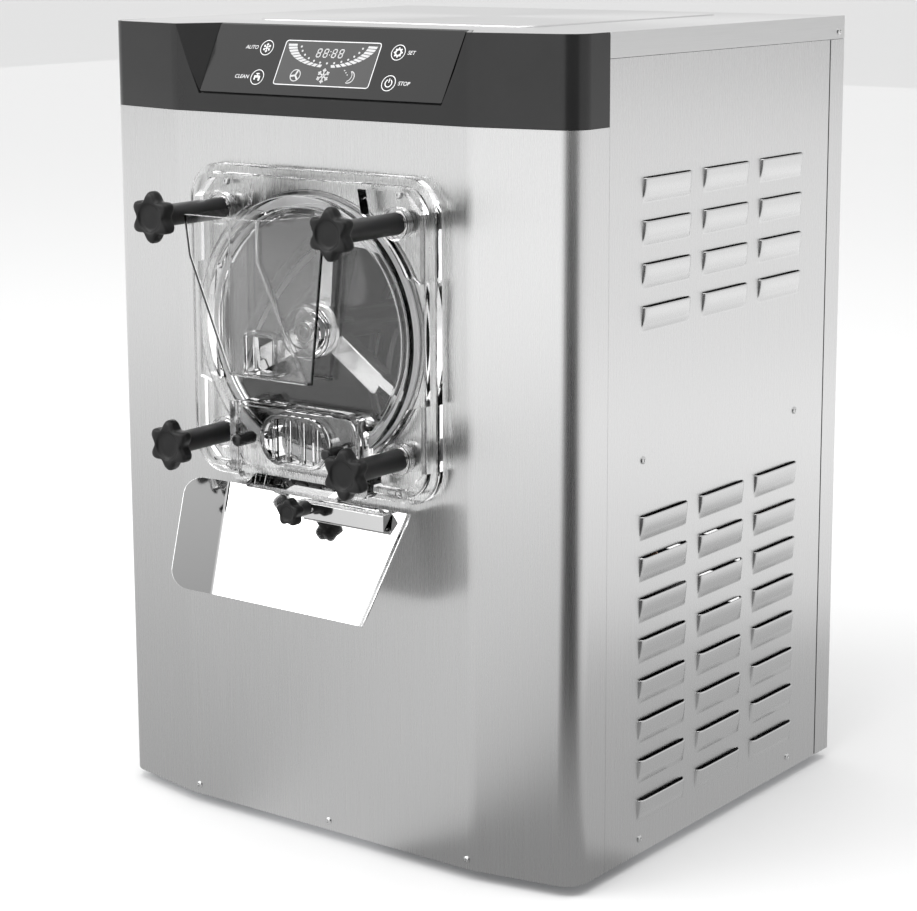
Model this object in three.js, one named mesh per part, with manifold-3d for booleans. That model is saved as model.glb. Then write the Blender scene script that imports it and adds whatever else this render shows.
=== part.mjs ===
// Table-top batch freezer for hard ice cream, in millimetres, +Z up, front towards -Y.
// Sizes below are written from the body's own corner: y = 0 is the flat of the front panel,
// z = 0 the lower edge of the steel body. The last lines stand the machine on its feet.
import * as THREE from 'three';
import { mergeVertices } from 'three/addons/utils/BufferGeometryUtils.js';
import { ConvexGeometry } from 'three/addons/geometries/ConvexGeometry.js';
import Module from 'manifold-3d';

const wasm = await Module();
wasm.setup();

// ---- driving dimensions ------------------------------------------------------------------
const gap = 0.3;                 // between pieces that touch
const runGap = 0.6;              // round a piece that turns or slides
const sheet = 1.5;               // steel sheet

const body = { width: 521, depth: 465, height: 720 };
const front = { flat: 330, angle: 10.8, corner: 21.5, setback: 62.7 };
const band = { height: 76.7, wall: 2.5 };
const lid = { skirt: 21.4, emboss: 1.2, embossInset: 105, embossFront: 100, embossRear: 55 };
const rear = { wrap: 28.1 };
const foot = { height: 10, radius: 18, insetX: 62, insetY: 70 };

const recess = { sill: 16, bottomHalf: 135.5, topHalf: 164, floorHalf: 138, depth: 33.5, wall: 2.5 };
const keyPanel = { thick: 2.5 };
const lens = { width: 106, height: 42, thick: 1.2, drop: 15 };

const louvre = { length: 76, height: 21, rise: 4.5, wall: 1, pitch: 36.5, columnPitch: 97.5, columns: 3 };
const louvreGroups = [{ rows: 4, top: 597.2 }, { rows: 8, top: 305.6 }];
const louvreFront = 113.5;       // first column, from the front flat
const vent = { width: 150, height: 7, pitch: 22, rows: 8, bottom: 130, apart: 24 };

const chamber = { z: 459.5, radius: 105, wall: 6, length: 250, flange: 17, flangeThick: 5, endWall: 8 };
const stud = { spacingX: 198, spacingZ: 202, radius: 4.5, reach: 60 };
const bulkhead = { start: 7, thick: 4 };

// Distances of the front fittings are how far they stand out from the front flat.
const door = { width: 277, height: 280, corner: 32, back: 4, flange: 8, rim: 7, face: 18, pocketFloor: 7 };
const doorRing = { outer: chamber.radius + 14, inner: chamber.radius + 4, face: 24, discBack: 7,
  discFace: 14 };
const hub = { radius: 22, face: 24, journal: 9, pocket: 19 };
const collar = { face: 14 };       // steel bush between door and knob sleeve
const knob = { radius: 22.5, lobes: 6, thick: 13, sleeve: 9.5, upperFace: 105.5, lowerFace: 91 };

const hopper = { left: -79, width: 87, flare: 25, depth: 61, toe: 8, top: 563, bottom: 415, wall: 3 };
const feed = { width: 32, height: 33, fromLeft: 18, rise: 4, boss: 4 };
const gate = { seat: 27, halfWidth: 67.5, top: 391, height: 55, thick: 5.4, rail: 6, keep: 4, keepThick: 3 };
const gateWindow = { width: 77, height: 46, rim: 4, bars: 4, bar: 4 };
const port = { width: 80, height: 36, bottom: 340 };
const spout = { half: 52, bottom: 320, reach: 40 };
const peg = { spacing: 101, z: 363, radius: 5.6, reach: 54.6, spigot: 3 };

const chute = { top: 310, topHalf: 103, topOut: 6, bottom: 217.6, bottomHalf: 85, bottomOut: 51.5,
  sheet: 1.2 };
const wing = { width: 40, bend: 50, corner: 17 };
const chuteKnob = { radius: 12.5, lobes: 5, face: 47, thick: 11, stem: 6.5, z: 303.5, stud: 3 };
const clamp = { left: -12, right: 86, height: 14, face: 20 };
const bracket = { half: 60, height: 17, thick: 4.2 };

const blade = { count: 3, outer: chamber.radius - 9, inner: chamber.radius - 31, thick: 9, turn: 150,
  hub: 24, arm: 16 };
const scraper = { thick: 5, reach: chamber.radius - 1.5, clear: 1 };
const shaft = { radius: 14, hubLength: 26 };
const insulation = { half: 152, length: 250, corner: 30 };
const deck = { thick: 3, below: 6, holeX: 186, holeY: 205, holeRadius: 16 };
const post = { size: 20, front: 74, rear: 432, top: 690 };

const gearbox = { half: 58, length: 78, start: 272, bore: 15.2, inputRadius: 9 };
const pulley = { width: 20, start: 372, groove: 13, flange: 7 };
const belt = { width: 12, thick: 6.4, smoothness: 12, clear: 1 };
const drive = { drivenPitch: 66, motorPitch: 22, motorX: -60, motorZ: 200 };
const motor = { radius: 60, length: 140, start: 205, shaft: 8 };
const compressor = { x: 128, y: 320, radius: 70, height: 185 };
const condenser = { x: -238, thick: 40, y: 105, width: 225, z: 24, height: 225, fins: 12 };
const fan = { radius: 90, hub: 24, blades: 5, depth: 16, motor: 24 };
const controlBox = { x: 92, y: 285, z: 330, width: 125, depth: 130, height: 170, wall: 2 };
const gland = { x: -170, z: 62, radius: 12, length: 14, neck: 8, bore: 5 };

// ---- materials ---------------------------------------------------------------------------
function finish(color, roughness, metalness) {
  return new THREE.MeshStandardMaterial({ color, roughness, metalness });
}
const steel = finish(0xc6c7c8, 0.32, 1);
const polished = finish(0xd9dadb, 0.08, 1);
const galvanised = finish(0x9fa2a4, 0.5, 1);
const blackPlastic = finish(0x1c1c1d, 0.3, 0);
const panelPlastic = finish(0x101011, 0.12, 0);
const glassPlastic = finish(0x2b3034, 0.05, 0);
const clearPlastic = finish(0xdfe5e8, 0.05, 0);
const whitePlastic = finish(0xe9e9e6, 0.4, 0);
const rubber = finish(0x202020, 0.8, 0);
const foam = finish(0xe0d9b8, 0.9, 0);
const castIron = finish(0x3f4b52, 0.6, 0.2);
const motorPaint = finish(0x2c3a44, 0.5, 0.1);
const aluminium = finish(0xb9bcbf, 0.4, 1);
const copper = finish(0xb87345, 0.3, 1);
const boardGreen = finish(0x1d5a35, 0.6, 0);

// ---- solids ------------------------------------------------------------------------------
function toSolid(geometry) {
  const bare = new THREE.BufferGeometry();
  bare.setAttribute('position', geometry.getAttribute('position').clone());
  if (geometry.index) bare.setIndex(geometry.index.clone());
  const merged = mergeVertices(bare, 1e-4);
  const corners = merged.index.array;
  const kept = [];
  for (let i = 0; i < corners.length; i += 3) {
    const [a, b, c] = [corners[i], corners[i + 1], corners[i + 2]];
    if (a !== b && b !== c && a !== c) kept.push(a, b, c);
  }
  return new wasm.Manifold(new wasm.Mesh({
    numProp: 3,
    vertProperties: new Float32Array(merged.getAttribute('position').array),
    triVerts: new Uint32Array(kept),
  }));
}

function toGeometry(solid) {
  const mesh = solid.getMesh();
  const geometry = new THREE.BufferGeometry();
  geometry.setAttribute('position', new THREE.BufferAttribute(mesh.vertProperties, 3));
  geometry.setIndex(new THREE.BufferAttribute(mesh.triVerts, 1));
  return geometry;
}

function join(first, ...others) {
  return toGeometry(others.reduce((solid, other) => solid.add(toSolid(other)), toSolid(first)));
}

function cut(first, ...tools) {
  return toGeometry(tools.reduce((solid, tool) => solid.subtract(toSolid(tool)), toSolid(first)));
}

function box(x0, x1, y0, y1, z0, z1) {
  const block = new THREE.BoxGeometry(Math.abs(x1 - x0), Math.abs(y1 - y0), Math.abs(z1 - z0));
  return block.translate((x0 + x1) / 2, (y0 + y1) / 2, (z0 + z1) / 2);
}

// An outline of [x, y] corners, raised from z0 to z1.
function extrudeUp(outline, z0, z1) {
  return new THREE.ExtrudeGeometry(shapeOf(outline), { depth: z1 - z0, bevelEnabled: false }).translate(0, 0, z0);
}

// An outline of [x, z] corners, run backwards from y0 to y1, turning as it goes where asked.
function extrudeBack(outline, y0, y1, { steps = 1, twist = 0, curveSegments = 4 } = {}) {
  const shape = outline instanceof THREE.Shape ? outline : shapeOf(outline);
  const options = { depth: y1 - y0, steps, bevelEnabled: false, curveSegments };
  const solid = new THREE.ExtrudeGeometry(shape, options).rotateX(Math.PI / 2).translate(0, y1, 0);
  if (twist === 0) return solid;
  const places = solid.getAttribute('position');
  const point = new THREE.Vector3();
  const upright = new THREE.Vector3(0, 1, 0);
  for (let i = 0; i < places.count; i += 1) {
    point.fromBufferAttribute(places, i);
    point.applyAxisAngle(upright, (twist * (point.y - y0)) / (y1 - y0));
    places.setXYZ(i, point.x, point.y, point.z);
  }
  return solid;
}

function shapeOf(corners) {
  return new THREE.Shape(corners.map(([a, b]) => new THREE.Vector2(a, b)));
}

// A profile of [radius, y] corners turned round the y axis; it closes on itself.
function turn(profile, segments = 24) {
  const area = profile.reduce((sum, [r, y], i) => {
    const [nextR, nextY] = profile[(i + 1) % profile.length];
    return sum + r * nextY - nextR * y;
  }, 0);
  const ordered = area > 0 ? profile : [...profile].reverse();
  const points = [...ordered, ordered[0]].map(([r, y]) => new THREE.Vector2(r, y));
  return new THREE.LatheGeometry(points, segments);
}

function rodBack(radius, y0, y1, segments = 24) {
  return turn([[0, y0], [radius, y0], [radius, y1], [0, y1]], segments);
}

function rodUp(radius, z0, z1, segments = 16) {
  return rodBack(radius, z0, z1, segments).rotateX(Math.PI / 2);
}

function rodSide(radius, x0, x1, segments = 24) {
  return rodBack(radius, -x1, -x0, segments).rotateZ(Math.PI / 2);
}

function hull(points) {
  return new ConvexGeometry(points.map((point) => new THREE.Vector3(...point)));
}

function roundedShape(width, height, radius, centreZ = 0) {
  const [x, z] = [width / 2, height / 2];
  const shape = new THREE.Shape();
  shape.absarc(x - radius, centreZ + z - radius, radius, 0, Math.PI / 2);
  shape.absarc(-x + radius, centreZ + z - radius, radius, Math.PI / 2, Math.PI);
  shape.absarc(-x + radius, centreZ - z + radius, radius, Math.PI, 1.5 * Math.PI);
  shape.absarc(x - radius, centreZ - z + radius, radius, 1.5 * Math.PI, 2 * Math.PI);
  return shape;
}

// A star head: rounded lobes with hollows between them.
function starShape(radius, lobes, pointsPerLobe = 5) {
  const corners = [];
  for (let i = 0; i < lobes * pointsPerLobe; i += 1) {
    const angle = (2 * Math.PI * i) / (lobes * pointsPerLobe);
    const reach = radius * (0.87 + 0.13 * Math.cos(lobes * angle));
    corners.push([reach * Math.sin(angle), reach * Math.cos(angle)]);
  }
  return corners;
}

// ---- the bowed front in plan --------------------------------------------------------------
const slope = THREE.MathUtils.degToRad(front.angle);
const halfWidth = body.width / 2;
const cornerX = halfWidth - front.corner;
const cornerY = front.corner * Math.cos(slope)
  + (cornerX + front.corner * Math.sin(slope) - front.flat / 2) * Math.tan(slope);

// From the right-hand seam to the left-hand one, moved inwards by inset.
function frontLine(inset, setback = front.setback) {
  const right = [[halfWidth - inset, setback]];
  const arcSteps = 5;
  for (let i = 0; i <= arcSteps; i += 1) {
    const angle = (-i / arcSteps) * (Math.PI / 2 - slope);
    const radius = front.corner - inset;
    right.push([cornerX + radius * Math.cos(angle), cornerY + radius * Math.sin(angle)]);
  }
  right.push([front.flat / 2 - inset * Math.tan(slope / 2), inset]);
  const left = [...right].reverse().map(([x, y]) => [-x, y]);
  return [...right, ...left];
}

function frontBand(outerInset, innerInset, z0, z1) {
  return extrudeUp([...frontLine(outerInset), ...frontLine(innerInset).reverse()], z0, z1);
}

// ---- assembly ----------------------------------------------------------------------------
const machine = new THREE.Group();

function add(name, geometry, material, place = [0, 0, 0]) {
  const piece = new THREE.Mesh(geometry, material);
  piece.name = name;
  piece.position.set(...place);
  machine.add(piece);
}

const bandBottom = body.height - band.height;
const skirtBottom = body.height - lid.skirt;
const sideEnd = body.depth - rear.wrap;
const innerWall = halfWidth - sheet;
const flangeRadius = chamber.radius + chamber.flange;
const chamberEnd = chamber.length + chamber.endWall;
const postX = innerWall - 4 - post.size / 2;
const deckTop = chamber.z - insulation.half - deck.below;
const hopperBack = doorRing.face + gap;
const feedX = hopper.left + feed.fromLeft;
const feedZ = hopper.bottom + feed.rise;
const gateBack = gate.seat + gap;
const gateFace = gateBack + gate.thick;
const studPlaces = [
  ['top_left', -1, 1, knob.upperFace], ['top_right', 1, 1, knob.upperFace],
  ['bottom_left', -1, -1, knob.lowerFace], ['bottom_right', 1, -1, knob.lowerFace],
].map(([name, sideX, sideZ, face]) => ({
  name, face, x: (sideX * stud.spacingX) / 2, z: chamber.z + (sideZ * stud.spacingZ) / 2,
}));

function atStuds(radius, y0, y1) {
  return studPlaces.map(({ x, z }) => rodBack(radius, y0, y1, 16).translate(x, 0, z));
}

// ---- casing ------------------------------------------------------------------------------
function baseTray() {
  const floor = 2;
  const wallHeight = 18;
  const plan = (inset) => [
    ...frontLine(sheet + gap + inset), [-innerWall + gap + inset, body.depth - sheet - gap - inset],
    [innerWall - gap - inset, body.depth - sheet - gap - inset]];
  const tray = cut(extrudeUp(plan(0), 0, wallHeight), extrudeUp(plan(sheet), floor, wallHeight + 1));
  add('base_tray', tray, galvanised);
}

function feet() {
  const rows = [['front', foot.insetY], ['rear', body.depth - foot.insetY]];
  for (const [row, y] of rows) {
    for (const [side, sign] of [['left', -1], ['right', 1]]) {
      const pad = turn([[0, gap], [foot.radius, gap], [foot.radius, foot.height - 3],
        [foot.radius - 3, foot.height], [0, foot.height]], 20).rotateX(-Math.PI / 2);
      add(`foot_${row}_${side}`, pad, rubber, [sign * (halfWidth - foot.insetX), y, 0]);
    }
  }
}

function frontPanel() {
  const panel = frontBand(0, sheet, 0, bandBottom - gap);
  const opening = rodBack(flangeRadius + runGap, -1, 8, 40).translate(0, 0, chamber.z);
  const bracketHole = rodBack(chuteKnob.stud + runGap, -1, 8, 12).translate(0, 0, chuteKnob.z);
  add('front_panel', cut(panel, opening, bracketHole, ...atStuds(stud.radius + runGap, -1, 8)), steel);
}

// A pressed louvre: a wedge that stands out from the sheet, open along its top edge.
function louvreHood(side, y, top, inset) {
  const end = louvre.height / 2;
  const y1 = y + louvre.length;
  const bottom = top - louvre.height + inset;
  const inside = innerWall - 1;
  return hull([
    [side * inside, y + inset, top + inset], [side * inside, y1 - inset, top + inset],
    [side * inside, y + end, bottom], [side * inside, y1 - end, bottom],
    [side * (halfWidth + louvre.rise - inset), y + 5, top + inset],
    [side * (halfWidth + louvre.rise - inset), y1 - 5, top + inset],
  ]);
}

function sidePanel(name, side) {
  const y0 = front.setback + gap;
  const y1 = sideEnd - gap;
  const lap = innerWall - gap;                  // the top edge steps in behind the lid's skirt
  let panel = toSolid(join(
    box(side * innerWall, side * halfWidth, y0, y1, 0, skirtBottom - gap),
    box(side * (lap - sheet), side * (lap), y0, y1, skirtBottom - 10, skirtBottom + 14),
    box(side * (lap - sheet), side * (halfWidth - gap), y0, y1, skirtBottom - 4, skirtBottom - gap),
  ));
  const hoods = [];
  for (const { rows, top } of louvreGroups) {
    for (let row = 0; row < rows; row += 1) {
      for (let column = 0; column < louvre.columns; column += 1) {
        hoods.push([louvreFront + column * louvre.columnPitch, top - row * louvre.pitch]);
      }
    }
  }
  for (const [y, top] of hoods) {
    panel = panel.add(toSolid(louvreHood(side, y, top, 0)));
    panel = panel.subtract(toSolid(louvreHood(side, y, top, louvre.wall)));
  }
  const room = box(0, side * innerWall, 0, body.depth, -1, skirtBottom - 11);
  add(name, toGeometry(panel.subtract(toSolid(room))), steel);
}

function rearPanel() {
  const wrap = [
    [halfWidth, sideEnd], [halfWidth, body.depth], [-halfWidth, body.depth], [-halfWidth, sideEnd],
    [-innerWall, sideEnd], [-innerWall, body.depth - sheet], [innerWall, body.depth - sheet], [innerWall, sideEnd]];
  const slots = [];
  for (const x of [-vent.width - vent.apart / 2, vent.apart / 2]) {
    for (let row = 0; row < vent.rows; row += 1) {
      const z = vent.bottom + row * vent.pitch;
      slots.push(box(x, x + vent.width, body.depth - 5, body.depth + 5, z, z + vent.height));
    }
  }
  const cableHole = rodBack(gland.neck + gap, body.depth - 5, body.depth + 5, 16)
    .translate(gland.x, 0, gland.z);
  add('rear_panel', cut(extrudeUp(wrap, 0, skirtBottom - gap), cableHole, ...slots), steel);
}

function topCover() {
  const inset = band.wall + gap;
  const y0 = front.setback + gap;
  const plan = [...frontLine(inset, y0), [-halfWidth, y0], [-halfWidth, body.depth], [halfWidth, body.depth],
    [halfWidth, y0]];
  const plate = extrudeUp(plan, body.height - sheet, body.height);
  const skirt = cut(box(-halfWidth, halfWidth, y0, body.depth, skirtBottom, body.height - gap),
    box(-innerWall, innerWall, y0 - 1, body.depth - sheet, skirtBottom - 1, body.height));
  const embossed = box(-halfWidth + lid.embossInset, halfWidth - lid.embossInset,
    lid.embossFront, body.depth - lid.embossRear, body.height - gap, body.height + lid.emboss);
  const notch = recessSolid(recess.wall + gap, keyPanel.thick + recess.wall + gap, body.height + 5);
  add('top_cover', cut(join(plate, skirt, embossed), notch), steel);
}

// ---- controls ----------------------------------------------------------------------------
// The key panel lies on a slope, flush at the sill and set back at the top.
const sillZ = bandBottom + recess.sill;
const panelRun = Math.hypot(recess.depth, body.height - sillZ);
const panelLean = Math.atan2(recess.depth, body.height - sillZ);

function recessSolid(grow, back, top) {
  const near = grow > 0 ? gap : -2;
  const rising = (z, from, to) => from + ((to - from) * (z - sillZ)) / (body.height - sillZ);
  return hull([-1, 1].flatMap((side) => [sillZ - grow, top].flatMap((z) => [
    [side * (rising(z, recess.bottomHalf, recess.topHalf) + grow), near, z],
    [side * (rising(z, recess.bottomHalf, recess.floorHalf) + grow), rising(z, 0, recess.depth) + back, z],
  ])));
}

function laidBack(geometry) {
  return geometry.rotateX(-panelLean).translate(0, 0, sillZ);
}

function controls() {
  const shell = frontBand(0, band.wall, bandBottom, body.height);
  const casing = recessSolid(recess.wall, keyPanel.thick + recess.wall, body.height);
  add('control_fascia', cut(join(shell, casing), recessSolid(0, keyPanel.thick, body.height + 2)), blackPlastic);

  const bottomHalf = recess.bottomHalf - gap;
  const topHalf = recess.floorHalf - 1;
  const plate = extrudeBack([[-bottomHalf, 2], [bottomHalf, 2], [topHalf, panelRun - 1], [-topHalf, panelRun - 1]],
    0, keyPanel.thick - 2 * gap);
  const lensTop = panelRun - lens.drop;
  const window = (grow, y0, y1) => box(-lens.width / 2 - grow, lens.width / 2 + grow, y0, y1,
    lensTop - lens.height - grow, lensTop + grow);
  add('key_panel', laidBack(cut(plate, window(gap, -1, lens.thick + gap))), panelPlastic);
  add('display_window', laidBack(window(0, 0, lens.thick)), glassPlastic);
}

// ---- freezing chamber --------------------------------------------------------------------
function chamberParts() {
  const { radius, wall, length } = chamber;
  const seat = -1;
  const flangeEnd = chamber.flangeThick;
  const barrel = turn([[radius, seat], [flangeRadius, seat], [flangeRadius, flangeEnd], [radius + wall, flangeEnd],
    [radius + wall, chamberEnd], [shaft.radius + 6, chamberEnd], [shaft.radius + 6, length], [radius, length]], 32);
  add('freezing_cylinder', barrel, polished, [0, 0, chamber.z]);
  const jacketInner = radius + wall + 1;
  const jacket = turn([[jacketInner, 20], [jacketInner + 4.5, 20], [jacketInner + 4.5, length - 10],
    [jacketInner, length - 10]], 28);
  add('evaporator_jacket', jacket, copper, [0, 0, chamber.z]);
  const seal = turn([[radius + 4, -door.back + gap], [flangeRadius - 4, -door.back + gap],
    [flangeRadius - 4, seat - gap], [radius + 4, seat - gap]], 32);
  add('door_seal', seal, rubber, [0, 0, chamber.z]);

  const { start, thick } = bulkhead;
  const plate = box(-insulation.half, insulation.half, start, start + thick,
    chamber.z - insulation.half - deck.below + gap, chamber.z + insulation.half);
  const bore = rodBack(radius + wall + 1, 0, 20, 28).translate(0, 0, chamber.z);
  add('front_bulkhead', cut(plate, bore, ...atStuds(stud.radius + gap, 0, 20)), galvanised);

  const side = 2 * insulation.half;
  const block = extrudeBack(roundedShape(side, side, insulation.corner, chamber.z),
    start + thick + gap, insulation.length);
  add('insulation', cut(block, rodBack(radius + wall + 7, 0, 400, 28).translate(0, 0, chamber.z)), foam);
}

function studs() {
  for (const { name, x, z } of studPlaces) {
    const rod = rodBack(stud.radius, -stud.reach, bulkhead.start + bulkhead.thick, 12);
    const nut = rodBack(stud.radius + 3.5, sheet + gap, bulkhead.start - gap, 6);
    add(`door_stud_${name}`, join(rod, nut), steel, [x, 0, z]);
  }
}

// ---- door --------------------------------------------------------------------------------
// Three-cornered pockets between the ring and each corner of the door.
function cornerPockets() {
  const reachX = door.width / 2 - door.rim - 5;
  const reachZ = door.height / 2 - door.rim - 5;
  const clear = doorRing.outer + 5;
  const chamfer = 18;
  const inner = [27, 36, 45, 54, 63].map((degrees) => {
    const angle = THREE.MathUtils.degToRad(degrees);
    return [clear * Math.cos(angle), clear * Math.sin(angle)];
  });
  const outline = [[reachX - chamfer, reachZ], [reachX, reachZ - chamfer], [reachX, inner[0][1] - 4],
    ...inner, [inner[4][0] - 4, reachZ]];
  return [[1, 1], [1, -1], [-1, 1], [-1, -1]].map(([sideX, sideZ]) => extrudeBack(
    outline.map(([x, z]) => [sideX * x, chamber.z + sideZ * z]), -door.face - 5, -door.pocketFloor));
}

function gateSeat() {
  const top = gate.top + 2;
  const near = gate.halfWidth + runGap;
  const keepOut = gateFace + gap;
  const pieces = [box(-near - gate.rail, near + gate.rail, -gate.seat, -door.back, spout.bottom, top)];
  for (const side of [-1, 1]) {
    pieces.push(box(side * near, side * (near + gate.rail), -keepOut - gate.keepThick, -gate.seat + 1,
      spout.bottom + 10, top));
    pieces.push(box(side * (near - gate.keep), side * (near + gate.rail), -keepOut - gate.keepThick, -keepOut,
      spout.bottom + 10, top));
  }
  const lip = hull([-1, 1].flatMap((side) => [
    [side * spout.half, -door.back, spout.bottom - 1], [side * spout.half, -door.back, spout.bottom + 9],
    [side * spout.half, -spout.reach, spout.bottom - 1], [side * spout.half, -spout.reach, spout.bottom + 2],
    [side * spout.half, -gate.seat, spout.bottom + 9],
  ]));
  return join(...pieces, lip);
}

function freezerDoor() {
  const around = (geometry) => geometry.translate(0, 0, chamber.z);
  const plateShape = (inset) => roundedShape(door.width - 2 * inset, door.height - 2 * inset,
    door.corner - inset, chamber.z);
  const flange = extrudeBack(plateShape(0), -door.back - door.flange, -door.back);
  const tier = extrudeBack(plateShape(door.rim), -door.face, -door.back - 1);
  const ring = around(rodBack(doorRing.outer, -doorRing.face, -door.back - 1, 48));
  const dish = around(rodBack(doorRing.inner, -doorRing.face - 1, -doorRing.discFace, 48));
  const hubBoss = around(rodBack(hub.radius, -hub.face, -doorRing.discBack - 1, 24));
  const feedBoss = box(feedX - feed.boss, feedX + feed.width + feed.boss, -doorRing.face,
    -doorRing.discBack - 1,
    feedZ - feed.boss, feedZ + feed.height + feed.boss);

  const chamberSide = around(rodBack(chamber.radius - 1, -doorRing.discBack, 1, 36));
  const pocket = around(rodBack(hub.journal + runGap, -hub.pocket - runGap, 1, 20));
  const throat = extrudeBack(roundedShape(port.width, port.height, port.height / 2 - 1,
    port.bottom + port.height / 2), -60, 1);
  const feedHole = box(feedX, feedX + feed.width, -60, 5, feedZ, feedZ + feed.height);
  const plate = cut(join(cut(join(flange, tier), ...cornerPockets()), ring), dish);
  const whole = join(plate, hubBoss, feedBoss, gateSeat());
  const drilled = cut(whole, chamberSide, pocket, throat, feedHole, ...atStuds(stud.radius + runGap, -40, 1));
  add('freezer_door', drilled, clearPlastic);
}

function feedHopper() {
  const { left, width, flare, depth, toe, top, bottom, wall } = hopper;
  const wedge = (inset, rise) => {
    const back = -hopperBack - inset;
    const lean = inset * 1.4;
    return hull([
      [left + inset, back, top + rise], [left + inset, -hopperBack - depth + lean, top + rise],
      [left + width - inset / 2, -hopperBack - depth + lean, top + rise],
      [left + width + flare - lean, back, top + rise],
      [left + inset, back, bottom + inset], [left + inset, -hopperBack - toe + inset, bottom + inset],
      [left + width + 5 - lean, -hopperBack - toe + inset, bottom + inset],
      [left + width + 8 - lean, back, bottom + inset],
    ]);
  };
  const outlet = box(feedX, feedX + feed.width, -hopperBack - wall - 1, 0, feedZ, feedZ + feed.height);
  add('feed_hopper', cut(wedge(0, 0), wedge(wall, 1), outlet), clearPlastic);
}

function dischargeGate() {
  const bottom = gate.top - gate.height;
  const plateShape = roundedShape(2 * gate.halfWidth, gate.height, 14, gate.top - gate.height / 2);
  const plate = extrudeBack(plateShape, -gateFace, -gateBack);
  const centre = bottom + gate.height / 2 + 1;
  const { width, height, rim, bars, bar } = gateWindow;
  const outer = extrudeBack(roundedShape(width, height, height / 2 - 1, centre), -gateFace - rim,
    -gateFace + 1);
  const inner = extrudeBack(roundedShape(width - 2 * rim, height - 2 * rim, height / 2 - rim - 1, centre),
    -gateFace - rim - 1, -gateFace + 2);
  const ribs = [];
  for (let i = 0; i < bars; i += 1) {
    const x = (i - (bars - 1) / 2) * (width / (bars + 1));
    ribs.push(box(x - bar / 2, x + bar / 2, -gateFace - rim, -gateFace + 2.5, centre - height / 2 + 2,
      centre + height / 2 - 2));
  }
  const holes = [-1, 1].map((side) =>
    rodBack(peg.spigot + gap, -60, 0, 12).translate((side * peg.spacing) / 2, 0, peg.z));
  add('discharge_gate', cut(join(cut(join(plate, outer), inner), ...ribs), ...holes), clearPlastic);
  for (const [name, side] of [['gate_peg_left', -1], ['gate_peg_right', 1]]) {
    const handle = turn([[0, -peg.reach], [peg.radius - 1, -peg.reach], [peg.radius, -peg.reach + 1],
      [peg.radius, -gateFace - gap], [peg.spigot, -gateFace - gap], [peg.spigot, -gateBack],
      [0, -gateBack]], 20);
    add(name, handle, blackPlastic, [(side * peg.spacing) / 2, 0, peg.z]);
  }
}

function starHead(radius, lobes, y0, y1) {
  return extrudeBack(starShape(radius, lobes), y0, y1);
}

function doorKnobs() {
  for (const { name, x, z, face } of studPlaces) {
    const sleeve = rodBack(knob.sleeve, -face + knob.thick - 1, -collar.face - gap, 20);
    const bore = rodBack(stud.radius + runGap, -stud.reach - 8, 1, 16);
    add(`door_knob_${name}`, cut(join(starHead(knob.radius, knob.lobes, -face, -face + knob.thick),
      sleeve), bore),
      blackPlastic, [x, 0, z]);
  }
}

// ---- chute -------------------------------------------------------------------------------
const chuteFall = new THREE.Vector3(0, chute.topOut - chute.bottomOut, chute.bottom - chute.top).normalize();
const chuteNormal = new THREE.Vector3(0, chuteFall.z, -chuteFall.y);

function chuteWing(side) {
  const top = new THREE.Vector3(side * chute.topHalf, -chute.topOut, chute.top);
  const bottom = new THREE.Vector3(side * chute.bottomHalf, -chute.bottomOut, chute.bottom);
  const fold = bottom.clone().sub(top);
  const length = fold.length();
  fold.normalize();
  const outward = new THREE.Vector3().crossVectors(chuteNormal, fold).multiplyScalar(-side);
  if (outward.x * side < 0) outward.negate();
  const bend = THREE.MathUtils.degToRad(wing.bend);
  const across = outward.multiplyScalar(Math.cos(bend)).addScaledVector(chuteNormal, Math.sin(bend));
  const through = new THREE.Vector3().crossVectors(fold, across);
  const { width, corner } = wing;
  const shape = new THREE.Shape();
  shape.moveTo(1, -0.6);
  shape.lineTo(length - 1, -0.6);
  shape.lineTo(length - 1, width - corner);
  shape.absarc(length - 1 - corner, width - corner, corner, 0, Math.PI / 2);
  shape.absarc(1 + corner, width - corner, corner, Math.PI / 2, Math.PI);
  const flap = new THREE.ExtrudeGeometry(shape, { depth: chute.sheet, bevelEnabled: false, curveSegments: 6 });
  if (through.dot(chuteNormal) > 0) flap.translate(0, 0, -chute.sheet);
  const place = new THREE.Matrix4().makeBasis(fold, across, through).setPosition(top);
  return flap.applyMatrix4(place);
}

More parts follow.
